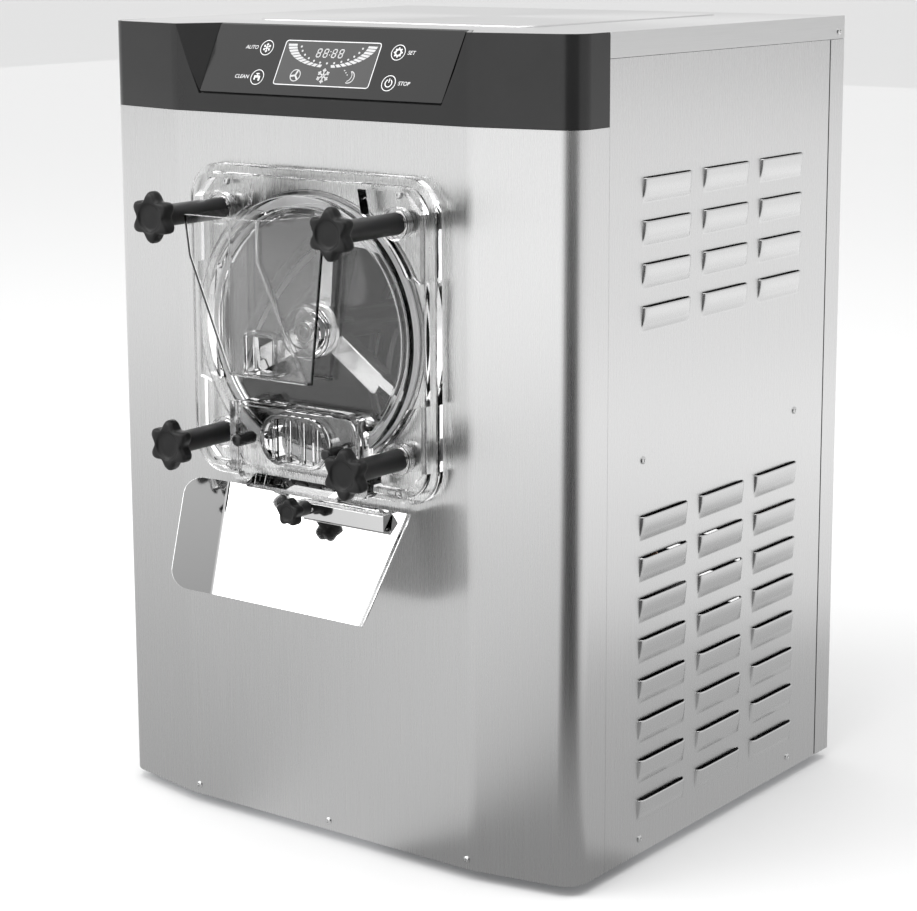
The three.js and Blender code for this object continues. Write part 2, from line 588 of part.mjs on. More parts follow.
function chuteParts() {
  const corners = [[-chute.topHalf, -chute.topOut, chute.top], [chute.topHalf, -chute.topOut, chute.top],
    [-chute.bottomHalf, -chute.bottomOut, chute.bottom], [chute.bottomHalf, -chute.bottomOut, chute.bottom]];
  const behind = chuteNormal.clone().multiplyScalar(-chute.sheet);
  const plate = hull([...corners, ...corners.map(([x, y, z]) => [x + behind.x, y + behind.y, z + behind.z])]);
  const hole = rodBack(chuteKnob.stud + runGap, -60, 0, 16).translate(0, 0, chuteKnob.z);
  add('chute_tray', cut(join(plate, chuteWing(-1), chuteWing(1)), hole), polished);

  const clampTop = chuteKnob.z + 4.5;
  const lipBack = -clamp.face + chute.sheet;
  const weldOut = chute.topOut + (chute.bottomOut - chute.topOut) *
    ((chute.top - clampTop) / (chute.top - chute.bottom));
  const lip = box(clamp.left, clamp.right, -clamp.face, lipBack, clampTop - clamp.height, clampTop);
  const web = box(clamp.left, clamp.right, -clamp.face, -weldOut - 1.2, clampTop - chute.sheet, clampTop);
  const cheek = hull([0, chute.sheet].flatMap((back) => [
    [clamp.right - back, -clamp.face, clampTop], [clamp.right - back, -clamp.face, clampTop - clamp.height],
    [clamp.right - back, -weldOut - 1.2, clampTop]]));
  add('chute_clamp', cut(join(lip, web, cheek), hole), polished);

  const plateZ = chuteKnob.z - bracket.height / 2;
  const pad = box(-bracket.half, bracket.half, -bracket.thick, -gap, plateZ - 4, plateZ + bracket.height - 4);
  const rod = rodBack(chuteKnob.stud, -chuteKnob.face + chuteKnob.thick, sheet + 3, 12)
    .translate(0, 0, chuteKnob.z);
  add('chute_bracket', join(pad, rod), steel);

  const head = starHead(chuteKnob.radius, chuteKnob.lobes, -chuteKnob.face,
    -chuteKnob.face + chuteKnob.thick);
  const stem = rodBack(chuteKnob.stem, -chuteKnob.face + chuteKnob.thick - 1, -clamp.face - gap, 16);
  const bore = rodBack(chuteKnob.stud + runGap, -chuteKnob.face + chuteKnob.thick - 2, 1, 12);
  add('chute_knob', cut(join(head, stem), bore), blackPlastic, [0, 0, chuteKnob.z]);
}

// ---- beater ------------------------------------------------------------------------------
function ringSector(inner, outer, thick, y0, y1, twist) {
  const half = thick / 2;
  return extrudeBack([[-half, inner], [half, inner], [half, outer], [-half, outer]], y0, y1, { steps: 12, twist });
}

function beaterParts() {
  const twist = THREE.MathUtils.degToRad(blade.turn);
  const [y0, y1] = [4, chamber.length - 8];
  const turned = (geometry, i) => geometry.rotateY((2 * Math.PI * i) / blade.count);
  const pieces = [rodBack(shaft.radius, 0, gearbox.start + 20, 20), rodBack(hub.journal, -hub.pocket, 1, 20),
    rodBack(blade.hub, 0, shaft.hubLength, 24), rodBack(blade.hub, y1 - shaft.hubLength, y1, 24)];
  for (let i = 0; i < blade.count; i += 1) {
    pieces.push(turned(ringSector(blade.inner, blade.outer, blade.thick, y0, y1, twist), i));
    for (const [start, angle] of [[y0, 0], [y1 - blade.arm, twist]]) {
      const arm = box(-blade.thick / 2 + 1, blade.thick / 2 - 1, start + 1, start + blade.arm - 1, 10,
        blade.inner + 6);
      const along = (angle * (start + blade.arm / 2 - y0)) / (y1 - y0);
      pieces.push(turned(arm.rotateY(along), i));
    }
  }
  add('beater', join(...pieces), polished, [0, 0, chamber.z]);
  for (let i = 0; i < blade.count; i += 1) {
    const edge = ringSector(blade.outer + scraper.clear, scraper.reach, scraper.thick, y0, y1, twist);
    add(`scraper_blade_${i + 1}`, turned(edge, i), whitePlastic, [0, 0, chamber.z]);
  }
  const seal = turn([[shaft.radius + gap, chamber.length], [shaft.radius + 5.5, chamber.length],
    [shaft.radius + 5.5, chamberEnd], [shaft.radius + gap, chamberEnd]], 20);
  add('shaft_seal', seal, rubber, [0, 0, chamber.z]);
}

// ---- drive -------------------------------------------------------------------------------
function pulleyWheel(pitch, bore) {
  const rim = pitch + pulley.flange;
  const floor = pitch - belt.thick / 2 - belt.clear;
  const side = (pulley.width - pulley.groove) / 2;
  const y1 = pulley.start + pulley.width;
  return turn([[bore, pulley.start], [rim, pulley.start], [rim, pulley.start + side], [floor, pulley.start + side],
    [floor, y1 - side], [rim, y1 - side], [rim, y1], [bore, y1]], 24);
}

function beltLoop(grow) {
  const far = new THREE.Vector2(0, chamber.z);
  const near = new THREE.Vector2(drive.motorX, drive.motorZ);
  const along = far.clone().sub(near);
  const heading = Math.atan2(along.y, along.x);
  const spread = Math.acos((drive.drivenPitch - drive.motorPitch) / along.length());
  const shape = new THREE.Shape();
  shape.absarc(far.x, far.y, drive.drivenPitch + grow, heading - (Math.PI - spread), heading + (Math.PI - spread));
  shape.absarc(near.x, near.y, drive.motorPitch + grow, heading + (Math.PI - spread),
    heading - (Math.PI - spread) + 2 * Math.PI);
  return shape;
}

function driveParts() {
  const { half, length, start, bore, inputRadius } = gearbox;
  const end = start + length;
  const casing = extrudeBack(roundedShape(2 * half, 2 * half + 20, 20), start, end);
  const nose = rodBack(32, start - 8, start + 1, 24);
  add('gearbox', cut(join(casing, nose), rodBack(bore, start - 20, start + 30, 20),
    rodBack(inputRadius + gap, end - 30, end + 5, 20)), castIron, [0, 0, chamber.z]);
  add('input_shaft', rodBack(inputRadius, end - 28, pulley.start + pulley.width + 3, 20), steel,
    [0, 0, chamber.z]);
  add('driven_pulley', pulleyWheel(drive.drivenPitch, inputRadius + gap), aluminium, [0, 0, chamber.z]);

  const grooveMiddle = pulley.start + pulley.width / 2;
  const loop = (grow, half) => extrudeBack(beltLoop(grow), grooveMiddle - half, grooveMiddle + half,
    { curveSegments: belt.smoothness });
  add('drive_belt', cut(loop(belt.thick / 2, belt.width / 2), loop(-belt.thick / 2, belt.width)), rubber);

  const place = [drive.motorX, 0, drive.motorZ];
  const cap = motor.start + motor.length;
  const can = turn([[0, motor.start], [motor.radius - 8, motor.start], [motor.radius, motor.start + 8],
    [motor.radius, cap - 8], [motor.radius - 8, cap], [motor.shaft + gap, cap],
    [motor.shaft + gap, cap - 20], [0, cap - 20]], 28);
  const cradle = box(-motor.radius * 0.7, motor.radius * 0.7, motor.start + 20, cap - 20,
    -drive.motorZ + 2 + gap, -motor.radius * 0.6);
  add('beater_motor', join(can, cradle), motorPaint, place);
  const spindle = rodBack(motor.shaft, cap - 18, pulley.start + pulley.width + 3, 20);
  add('motor_pulley', join(pulleyWheel(drive.motorPitch, motor.shaft - 1), spindle), aluminium, place);
}

// ---- frame and cold side -----------------------------------------------------------------
function frameParts() {
  const half = post.size / 2;
  const bars = [];
  const floor = 2 + gap;
  for (const x of [-postX, postX]) {
    for (const y of [post.front, post.rear]) {
      bars.push(box(x - half, x + half, y - half, y + half, floor, post.top));
    }
    for (const z of [post.top - half, deckTop - deck.thick - half - gap]) {
      bars.push(box(x - half, x + half, post.front, post.rear, z - half, z + half));
    }
  }
  for (const y of [post.front, post.rear]) {
    bars.push(box(-postX, postX, y - half, y + half, deckTop - deck.thick - post.size - gap,
      deckTop - deck.thick - gap));
  }
  bars.push(box(-postX, postX, post.rear - half, post.rear + half, post.top - post.size, post.top));
  add('chassis_frame', join(...bars), galvanised);
  const deckEnd = gearbox.start + gearbox.length;
  const deckPlate = join(
    box(-postX + half + gap, postX - half - gap, post.front, deckEnd, deckTop - deck.thick, deckTop),
    box(-insulation.half, insulation.half, bulkhead.start, post.front + 1, deckTop - deck.thick, deckTop),
  );
  const pipeHole = rodUp(deck.holeRadius, deckTop - 10, deckTop + 10).translate(deck.holeX, deck.holeY, 0);
  const riser = (z) => box(-40, 40, gearbox.start + 15, deckEnd - 15, deckTop - 1, z);
  add('cylinder_deck', cut(join(deckPlate, riser(chamber.z - gearbox.half - 10 - gap)), pipeHole), galvanised);
}

function coldParts() {
  const { x, y, radius, height } = compressor;
  const floor = 2 + gap;
  const pot = turn([[0, 12], [radius - 16, 12], [radius, 30], [radius, height - 34], [radius - 18, height - 8],
    [radius - 44, height], [0, height]], 24).rotateX(Math.PI / 2).translate(x, y, 0);
  const feetPlate = box(x - radius, x + radius, y - radius * 0.7, y + radius * 0.7, floor, 14);
  add('compressor', join(pot, feetPlate), panelPlastic);

  const core = condenser;
  const grooves = [];
  for (let i = 1; i < core.fins; i += 1) {
    const z = core.z + (i * core.height) / core.fins;
    grooves.push(box(core.x - 1, core.x + 4, core.y + 8, core.y + core.width - 8, z - 4, z + 4));
    grooves.push(box(core.x + core.thick - 4, core.x + core.thick + 1, core.y + 8, core.y + core.width - 8,
      z - 4, z + 4));
  }
  const coreTop = core.z + core.height;
  add('condenser', cut(box(core.x, core.x + core.thick, core.y, core.y + core.width, floor, coreTop),
    ...grooves), aluminium);

  const centre = [0, core.y + core.width / 2, core.z + core.height / 2];
  const plateX = core.x + core.thick + gap;
  const shroud = cut(box(plateX, plateX + 14, core.y, core.y + core.width, floor, core.z + core.height),
    rodSide(fan.radius + 5, plateX + 2, plateX + 20, 36).translate(...centre),
    rodSide(fan.radius - 8, plateX - 5, plateX + 20, 36).translate(...centre));
  add('fan_shroud', shroud, blackPlastic);

  const fanX = plateX + 14;
  const hubRod = rodSide(fan.hub, fanX - 4, fanX + fan.depth, 20);
  const blades = [];
  for (let i = 0; i < fan.blades; i += 1) {
    const flat = box(-1.2, 1.2, -19, 19, fan.hub - 5, fan.radius - 3).rotateZ(THREE.MathUtils.degToRad(62));
    blades.push(flat.translate(fanX + fan.depth / 2 - 1, 0, 0).rotateX((2 * Math.PI * i) / fan.blades));
  }
  add('condenser_fan', join(hubRod, ...blades), aluminium, centre);
  const motorX = fanX + fan.depth / 2 + 20;
  const fanMotor = rodSide(fan.motor, motorX, motorX + 38, 20);
  const leg = box(motorX + 10, motorX + 28, -12, 12, -centre[2] + floor, -fan.motor + 4);
  add('fan_motor', join(fanMotor, leg), castIron, centre);
}

// A round pipe along points joined by a smooth curve.
function pipe(points, radius, steps) {
  const path = new THREE.CatmullRomCurve3(points.map((point) => new THREE.Vector3(...point)));
  const section = new THREE.Shape();
  section.absarc(0, 0, radius, 0, 2 * Math.PI);
  return new THREE.ExtrudeGeometry(section, { steps, extrudePath: path, curveSegments: 4, bevelEnabled: false });
}

function pipeWork() {
  const { x, y, height } = compressor;
  const core = condenser;
  const potTop = height + gap;
  add('hot_gas_pipe', pipe([[x - 12, y, potTop], [x - 12, y, height + 22], [x - 30, y - 90, height + 34],
    [20, 130, height + 20], [-110, 84, core.z + core.height - 10],
    [core.x + core.thick - 10, core.y - 16, core.z + core.height - 25],
    [core.x + core.thick - 10, core.y - gap, core.z + core.height - 25]], 4, 22), copper);
  add('suction_pipe', pipe([[x + 16, y, potTop], [x + 16, y, height + 40], [x + 60, y - 60, height + 70],
    [deck.holeX, deck.holeY, deckTop - 25], [deck.holeX, deck.holeY, deckTop + 20],
    [deck.holeX - 4, deck.holeY, chamber.z - 60], [insulation.half + 16, deck.holeY, chamber.z - 40],
    [insulation.half + 1, deck.holeY, chamber.z - 40]], 5, 22), copper);
  const drier = turn([[0, 0], [4, 2], [11, 12], [11, 80], [4, 92], [0, 94]], 16);
  add('filter_drier', drier, copper, [60, 110, 60]);
}

function electricalParts() {
  const { x, y, z, width, depth, height, wall } = controlBox;
  const shell = cut(box(x, x + width, y, y + depth, z, z + height),
    box(x + wall, x + width - wall, y - 1, y + depth - wall, z + wall, z + height - wall));
  add('control_box', shell, galvanised);
  const inner = y + depth - wall - 8;
  add('main_board', box(x + 10, x + width - 10, inner, inner + 1.6, z + 12, z + height - 12), boardGreen);
  add('start_capacitor', rodBack(20, y + 10, y + 95, 20), aluminium, [x + 36, 0, z + 45]);

  const end = body.depth;
  const nut = turn([[gland.bore, end - 6], [gland.neck, end - 6], [gland.neck, end + gap], [gland.radius, end + gap],
    [gland.radius, end + 8], [gland.neck, end + gland.length], [gland.bore, end + gland.length]], 16);
  add('cable_gland', nut, blackPlastic, [gland.x, 0, gland.z]);
}

baseTray();
feet();
frontPanel();
sidePanel('left_side_panel', -1);
sidePanel('right_side_panel', 1);
rearPanel();
topCover();
controls();
frameParts();
chamberParts();
studs();
freezerDoor();
feedHopper();
dischargeGate();
doorKnobs();
chuteParts();
beaterParts();
driveParts();
coldParts();
pipeWork();
electricalParts();

// The origin is under the middle of the whole machine, fittings included, at the feet.
const rearReach = body.depth + gland.length;
machine.position.set(0, -(rearReach - knob.upperFace) / 2, foot.height);
const model = new THREE.Group();
model.add(machine);
export default model;
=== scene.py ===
# Table-top batch freezer: the finished surfaces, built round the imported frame.
import math

import bmesh
import bpy
from mathutils import Matrix, Vector


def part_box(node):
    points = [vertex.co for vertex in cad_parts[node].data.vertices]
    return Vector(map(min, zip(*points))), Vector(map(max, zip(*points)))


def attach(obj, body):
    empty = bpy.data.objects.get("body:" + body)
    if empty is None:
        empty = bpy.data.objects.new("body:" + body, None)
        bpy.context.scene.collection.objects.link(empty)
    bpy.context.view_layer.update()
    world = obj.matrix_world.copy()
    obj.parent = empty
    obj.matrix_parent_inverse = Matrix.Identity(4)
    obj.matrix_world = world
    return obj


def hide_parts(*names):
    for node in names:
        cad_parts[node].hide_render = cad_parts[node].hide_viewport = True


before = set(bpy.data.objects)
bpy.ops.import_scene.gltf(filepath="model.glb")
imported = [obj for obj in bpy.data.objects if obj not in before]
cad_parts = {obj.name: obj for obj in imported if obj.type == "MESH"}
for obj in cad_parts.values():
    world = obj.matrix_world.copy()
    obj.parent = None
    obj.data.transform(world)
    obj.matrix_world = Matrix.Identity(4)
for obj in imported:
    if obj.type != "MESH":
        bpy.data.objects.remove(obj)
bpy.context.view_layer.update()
mm = 0.001
forward = Vector((0, -1, 0))

# The front flat and the lower edge of the steel body are where every size is counted from.
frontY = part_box("front_panel")[0].y
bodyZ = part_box("front_panel")[0].z
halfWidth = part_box("front_panel")[1].x / mm
bodyDepth = (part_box("rear_panel")[1].y - frontY) / mm
bodyTop = (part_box("control_fascia")[1].z - bodyZ) / mm
cylinderZ = (sum((v.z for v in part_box("freezing_cylinder")), 0.0) / 2 - bodyZ) / mm


def at(x, out, z):
    # millimetres across, out in front of the flat and up from the steel's lower edge
    return Vector((x * mm, frontY - out * mm, bodyZ + z * mm))


def middle(node):
    low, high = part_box(node)
    centre = (low + high) / 2
    return centre.x / mm, (frontY - centre.y) / mm, (centre.z - bodyZ) / mm


class Wire:
    # one output socket that can be used in an expression
    def __init__(self, graph, socket):
        self.graph = graph
        self.socket = socket

    def maths(self, operation, first, second=0.0):
        return self.graph.node("ShaderNodeMath", {"operation": operation}, {0: first, 1: second})

    def __add__(self, other):
        return self.maths("ADD", self, other)

    def __mul__(self, other):
        return self.maths("MULTIPLY", self, other)



class Graph:
    def __init__(self, tree):
        self.tree = tree
        tree.nodes.clear()

    def node(self, kind, settings=None, inputs=None, output=0):
        made = self.tree.nodes.new(kind)
        for name, value in (settings or {}).items():
            if name == "stops":
                self.setStops(made.color_ramp, value)
            else:
                setattr(made, name, value)
        for name, value in (inputs or {}).items():
            socket = made.inputs[name]
            if isinstance(value, Wire):
                self.tree.links.new(value.socket, socket)
            else:
                socket.default_value = value
        return Wire(self, made.outputs[output]) if len(made.outputs) else None

    def setStops(self, ramp, stops):
        while len(ramp.elements) < len(stops):
            ramp.elements.new(0.5)
        for element, (place, shade) in zip(ramp.elements, stops):
            element.position = place
            element.color = (*shade, 1.0) if isinstance(shade, tuple) else (shade, shade, shade, 1.0)

    def place(self, scale=(1, 1, 1), turn=(0, 0, 0)):
        coordinates = self.node("ShaderNodeTexCoord", output="Object")
        return self.node("ShaderNodeMapping", {}, {"Vector": coordinates, "Scale": scale,
                                                   "Rotation": turn})

    def noise(self, scale, stretch=(1, 1, 1), detail=3.0, roughness=0.55):
        return self.node("ShaderNodeTexNoise", {}, {"Vector": self.place(stretch), "Scale": scale,
                                                    "Detail": detail, "Roughness": roughness})

    def blend(self, factor, first, second):
        return self.node("ShaderNodeMix", {"data_type": "RGBA"},
                         {0: factor, 6: first, 7: second}, output=2)

    def bump(self, height, strength, distance):
        return self.node("ShaderNodeBump", {}, {"Height": height, "Strength": strength,
                                                "Distance": distance})


def grey(value, alpha=1.0):
    return (value, value, value, alpha)


def makeMaterial(name, build):
    material = bpy.data.materials.new(name)
    material.use_nodes = True
    graph = Graph(material.node_tree)
    values = build(graph)
    shader = graph.node("ShaderNodeBsdfPrincipled", {}, values)
    graph.node("ShaderNodeOutputMaterial", {}, {"Surface": shader})
    return material


def brushedSteel(name, tone=0.62, rough=0.27, grain=(260, 260, 3.0), spread=0.7):
    def build(graph):
        lines = graph.noise(4.0, grain, detail=4.0, roughness=0.6)
        cloud = graph.noise(3.0, (1, 1, 1), detail=2.0)
        shade = graph.blend(lines, grey(tone * 0.93), grey(min(tone * 1.06, 1.0)))
        return {"Base Color": shade, "Metallic": 1.0, "Roughness": lines * 0.10 + cloud * 0.05
                + (rough - 0.07), "Anisotropic": spread, "Normal": graph.bump(lines, 0.06, 0.0003)}
    return makeMaterial(name, build)


def polishedSteel(name, tone=0.8, rough=0.05):
    def build(graph):
        smear = graph.noise(18.0, (1, 1, 0.4), detail=3.0)
        shade = graph.blend(smear, grey(tone * 0.97), grey(tone))
        return {"Base Color": shade, "Metallic": 1.0, "Roughness": smear * 0.05 + rough}
    return makeMaterial(name, build)


def mouldedPlastic(name, tone, rough=0.4, grain=900.0, depth=0.12, shine=0.5):
    def build(graph):
        stipple = graph.noise(grain, detail=2.0)
        wear = graph.noise(24.0, detail=4.0)
        colour = tone if isinstance(tone, tuple) else (tone, tone, tone * 1.01)
        lighter = tuple(min(c * 1.25 + 0.002, 1.0) for c in colour)
        return {"Base Color": graph.blend(wear, (*colour, 1), (*lighter, 1)),
                "Roughness": wear * 0.08 + (rough - 0.04), "Specular IOR Level": shine,
                "Normal": graph.bump(stipple, depth, 0.0001)}
    return makeMaterial(name, build)


def glossyPlastic(name, tone, rough=0.08, shine=0.2):
    def build(graph):
        haze = graph.noise(40.0, detail=4.0)
        colour = tone if isinstance(tone, tuple) else (tone, tone, tone)
        lighter = tuple(c * 1.2 + 0.001 for c in colour)
        return {"Base Color": graph.blend(haze, (*colour, 1), (*lighter, 1)),
                "Roughness": haze * 0.05 + rough, "Specular IOR Level": shine}
    return makeMaterial(name, build)


def clearPlastic(name, tint=0.97):
    def build(graph):
        haze = graph.noise(30.0, detail=3.0)
        return {"Base Color": graph.blend(haze, grey(tint * 0.99), grey(tint)),
                "Transmission Weight": 1.0, "IOR": 1.49, "Roughness": haze * 0.02}
    return makeMaterial(name, build)


def paintedMetal(name, colour, rough=0.4):
    def build(graph):
        peel = graph.noise(160.0, detail=2.0)
        dust = graph.noise(9.0, detail=5.0)
        darker = tuple(c * 0.8 for c in colour)
        return {"Base Color": graph.blend(dust, (*darker, 1), (*colour, 1)),
                "Roughness": dust * 0.15 + rough, "Normal": graph.bump(peel, 0.08, 0.0003)}
    return makeMaterial(name, build)


def bareMetal(name, colour, rough=0.35, scale=70.0):
    def build(graph):
        spangle = graph.node("ShaderNodeTexVoronoi", {}, {"Vector": graph.place(), "Scale": scale},
                             output="Distance")
        tarnish = graph.noise(12.0, detail=5.0)
        darker = tuple(c * 0.85 for c in colour)
        return {"Base Color": graph.blend(tarnish, (*darker, 1), (*colour, 1)), "Metallic": 1.0,
                "Roughness": spangle * 0.12 + tarnish * 0.08 + rough}
    return makeMaterial(name, build)


def softFoam(name, colour):
    def build(graph):
        cells = graph.node("ShaderNodeTexVoronoi", {}, {"Vector": graph.place(), "Scale": 420.0},
                           output="Distance")
        stain = graph.noise(14.0, detail=4.0)
        darker = tuple(c * 0.8 for c in colour)
        return {"Base Color": graph.blend(stain, (*darker, 1), (*colour, 1)), "Roughness": 0.9,
                "Normal": graph.bump(cells, 0.4, 0.001)}
    return makeMaterial(name, build)


def circuitBoard(name):
    def build(graph):
        tracks = graph.node("ShaderNodeTexBrick", {}, {"Vector": graph.place(turn=(math.pi / 2, 0, 0)),
                                                       "Scale": 90.0,
                            "Color1": (0.02, 0.13, 0.06, 1), "Color2": (0.015, 0.10, 0.045, 1),
                            "Mortar": (0.05, 0.22, 0.09, 1), "Mortar Size": 0.03}, output="Color")
        return {"Base Color": tracks, "Roughness": graph.noise(60.0) * 0.2 + 0.25}
    return makeMaterial(name, build)


finishes = {
    "steel": brushedSteel("BrushedCasingSteel"),
    "topSteel": brushedSteel("BrushedTopSteel", grain=(260, 3.0, 260), rough=0.3),
    "mirrorSteel": polishedSteel("MirrorSteel"),
    "chamberSteel": polishedSteel("ChamberSteel", 0.34, 0.16),
    "stirrerSteel": polishedSteel("StirrerSteel", 0.72, 0.22),
    "screwSteel": polishedSteel("ScrewSteel", 0.62, 0.16),
    "zinc": bareMetal("ZincCoat", (0.52, 0.53, 0.55), 0.4),
    "band": mouldedPlastic("SatinBandPlastic", 0.012, 0.2, 1400.0, 0.02, 0.4),
    "keyPanel": glossyPlastic("GlossyKeyPanel", 0.004, 0.07, 0.16),
    "display": glossyPlastic("DisplayWindow", 0.05, 0.1, 0.16),
    "marks": mouldedPlastic("WhitePrint", 0.72, 0.5, 1400.0, 0.02),
    "displayMarks": mouldedPlastic("DisplaySegments", 0.5, 0.5, 1400.0, 0.02),
    "black": mouldedPlastic("MouldedBlackPlastic", 0.009, 0.38, 900.0, 0.1, 0.24),
    "blackGloss": mouldedPlastic("SleeveBlackPlastic", 0.008, 0.24, 900.0, 0.05, 0.4),
    "clear": clearPlastic("ClearPolycarbonate"),
    "white": mouldedPlastic("FoodWhitePlastic", 0.72, 0.35, 600.0, 0.05),
    "rubber": mouldedPlastic("BlackRubber", 0.012, 0.7, 700.0, 0.3),
    "sealRubber": mouldedPlastic("WhiteSealRubber", 0.6, 0.55, 700.0, 0.1),
    "foam": softFoam("YellowFoam", (0.7, 0.62, 0.36)),
    "castIron": paintedMetal("CastIronPaint", (0.10, 0.13, 0.15)),
    "motorPaint": paintedMetal("MotorPaint", (0.04, 0.06, 0.09), 0.35),
    "pumpPaint": paintedMetal("CompressorPaint", (0.012, 0.012, 0.013), 0.3),
    "aluminium": bareMetal("SatinAluminium", (0.62, 0.63, 0.65), 0.28),
    "copper": bareMetal("DrawnCopper", (0.72, 0.38, 0.22), 0.2, 30.0),
    "board": circuitBoard("CircuitBoard"),
}

nodeFinishes = {
    "steel": "front_panel left_side_panel right_side_panel rear_panel",
    "topSteel": "top_cover",
    "mirrorSteel": "chute_tray chute_clamp chute_bracket",
    "chamberSteel": "freezing_cylinder",
    "stirrerSteel": "beater input_shaft",
    "screwSteel": "door_stud_top_left door_stud_top_right door_stud_bottom_left door_stud_bottom_right",
    "zinc": "base_tray chassis_frame cylinder_deck front_bulkhead control_box",
    "band": "control_fascia",
    "keyPanel": "key_panel",
    "display": "display_window",
    "black": "gate_peg_left gate_peg_right door_knob_top_left door_knob_top_right door_knob_bottom_left "
             "door_knob_bottom_right chute_knob fan_shroud cable_gland",
    "clear": "freezer_door feed_hopper discharge_gate",
    "white": "scraper_blade_1 scraper_blade_2 scraper_blade_3",
    "rubber": "foot_front_left foot_front_right foot_rear_left foot_rear_right shaft_seal drive_belt",
    "sealRubber": "door_seal",
    "foam": "insulation",
    "castIron": "gearbox fan_motor",
    "motorPaint": "beater_motor",
    "pumpPaint": "compressor",
    "aluminium": "driven_pulley motor_pulley condenser condenser_fan start_capacitor",
    "copper": "evaporator_jacket hot_gas_pipe suction_pipe filter_drier",
    "board": "main_board",
}
for finishName, nodes in nodeFinishes.items():
    for nodeName in nodes.split():
        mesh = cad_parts[nodeName].data
        mesh.materials.clear()
        mesh.materials.append(finishes[finishName])
print("finishes ready")


def pieceFrom(name, bm, finish, smoothAngle=32.0):
    bmesh.ops.remove_doubles(bm, verts=bm.verts, dist=1e-6)
    mesh = bpy.data.meshes.new(name)
    bm.to_mesh(mesh)
    bm.free()
    mesh.materials.append(finishes[finish])
    mesh.shade_smooth()
    mesh.set_sharp_from_angle(angle=math.radians(smoothAngle))
    piece = bpy.data.objects.new(name, mesh)
    bpy.context.scene.collection.objects.link(piece)
    return piece


def mount(piece, body, slot, *nodes):
    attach(piece, body)
    if nodes:
        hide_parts(*nodes)
    return piece


def roundEdges(piece, width, segments=2, angle=30.0):
    bevel = piece.modifiers.new("RoundedEdges", "BEVEL")
    bevel.width = width * mm
    bevel.segments = segments
    bevel.limit_method = "ANGLE"
    bevel.angle_limit = math.radians(angle)
    bevel.harden_normals = True
    return piece


def sheetFace(corners):
    bm = bmesh.new()
    bm.faces.new([bm.verts.new(corner) for corner in corners])
    return bm


def rounded(bm, verts, radius, segments=6):
    bmesh.ops.bevel(bm, geom=list(verts), offset=radius * mm, segments=segments,
                    affect="VERTICES", profile=0.5, material=-1)


def softened(bm, edges, radius, segments=3):
    bmesh.ops.bevel(bm, geom=list(edges), offset=radius * mm, segments=segments,
                    affect="EDGES", profile=0.5, material=-1, clamp_overlap=True)


def thicken(bm, depth):
    # the flat faces of bm become a solid, run on by the vector depth
    made = bmesh.ops.extrude_face_region(bm, geom=bm.faces[:])
    moved = [item for item in made["geom"] if isinstance(item, bmesh.types.BMVert)]
    bmesh.ops.translate(bm, verts=moved, vec=depth)
    bmesh.ops.recalc_face_normals(bm, faces=bm.faces)
    return bm


def block(x0, x1, out0, out1, z0, z1):
    bm = bmesh.new()
    bmesh.ops.create_cube(bm, size=1.0)
    low, high = at(min(x0, x1), max(out0, out1), min(z0, z1)), at(max(x0, x1),
                                                                  min(out0, out1), max(z0, z1))
    bmesh.ops.scale(bm, verts=bm.verts, vec=high - low)
    bmesh.ops.translate(bm, verts=bm.verts, vec=(low + high) / 2)
    return bm


def roundedPlate(centreX, centreZ, width, height, radius, out0, out1, rim=0.0, segments=8):
    # a plate facing forward; rim rounds the edge of its front face
    x, z = width / 2, height / 2
    bm = sheetFace([at(centreX + u, out0, centreZ + v) for u, v in ((-x, -z), (x, -z), (x, z), (-x, z))])
    rounded(bm, bm.verts[:], radius, segments)
    thicken(bm, at(0, out1, 0) - at(0, out0, 0))
    if rim:
        front = at(0, out1, 0).y
        edges = [e for e in bm.edges if all(abs(v.co.y - front) < 1e-6 for v in e.verts)]
        softened(bm, edges, rim)
    return bm


def turned(centre, profile, axis=forward, steps=64):
    # a profile of (radius, how far along the axis) turned right round
    bm = bmesh.new()
    across = Vector((0, 0, 1)) if abs(axis.z) < 0.9 else Vector((1, 0, 0))
    verts = [bm.verts.new(centre + across * (radius * mm) + axis * (along * mm))
             for radius, along in profile]
    edges = [bm.edges.new(pair) for pair in zip(verts, verts[1:])]
    if profile[0] == profile[-1]:
        bmesh.ops.remove_doubles(bm, verts=[verts[0], verts[-1]], dist=1e-7)
    bmesh.ops.spin(bm, geom=bm.verts[:] + bm.edges[:], cent=centre, axis=axis, dvec=(0, 0, 0),
                   angle=2 * math.pi, steps=steps, use_merge=True, use_duplicate=False)
    bmesh.ops.remove_doubles(bm, verts=bm.verts, dist=1e-6)
    bmesh.ops.dissolve_degenerate(bm, edges=bm.edges, dist=1e-7)
    bmesh.ops.recalc_face_normals(bm, faces=bm.faces)
    return bm


def rod(x, z, radius, out0, out1, steps=40, rim=0.0):
    reach = abs(out1 - out0)
    axis = forward if out1 > out0 else Vector((0, 1, 0))
    profile = [(0, 0), (radius, 0), (radius, reach - rim)]
    if rim:
        profile += [(radius - rim * (1 - math.cos(a)), reach - rim + rim * math.sin(a))
                    for a in (math.pi / 6, math.pi / 3, math.pi / 2)]
    profile.append((0, reach))
    return turned(at(x, out0, z), profile, axis, steps)


def gather(*parts):
    whole = bmesh.new()
    for part in parts:
        mesh = bpy.data.meshes.new("part")
        part.to_mesh(mesh)
        part.free()
        whole.from_mesh(mesh)
        bpy.data.meshes.remove(mesh)
    return whole


def plainObject(name, bm):
    mesh = bpy.data.meshes.new(name)
    bm.to_mesh(mesh)
    bm.free()
    made = bpy.data.objects.new(name, mesh)
    bpy.context.scene.collection.objects.link(made)
    return made


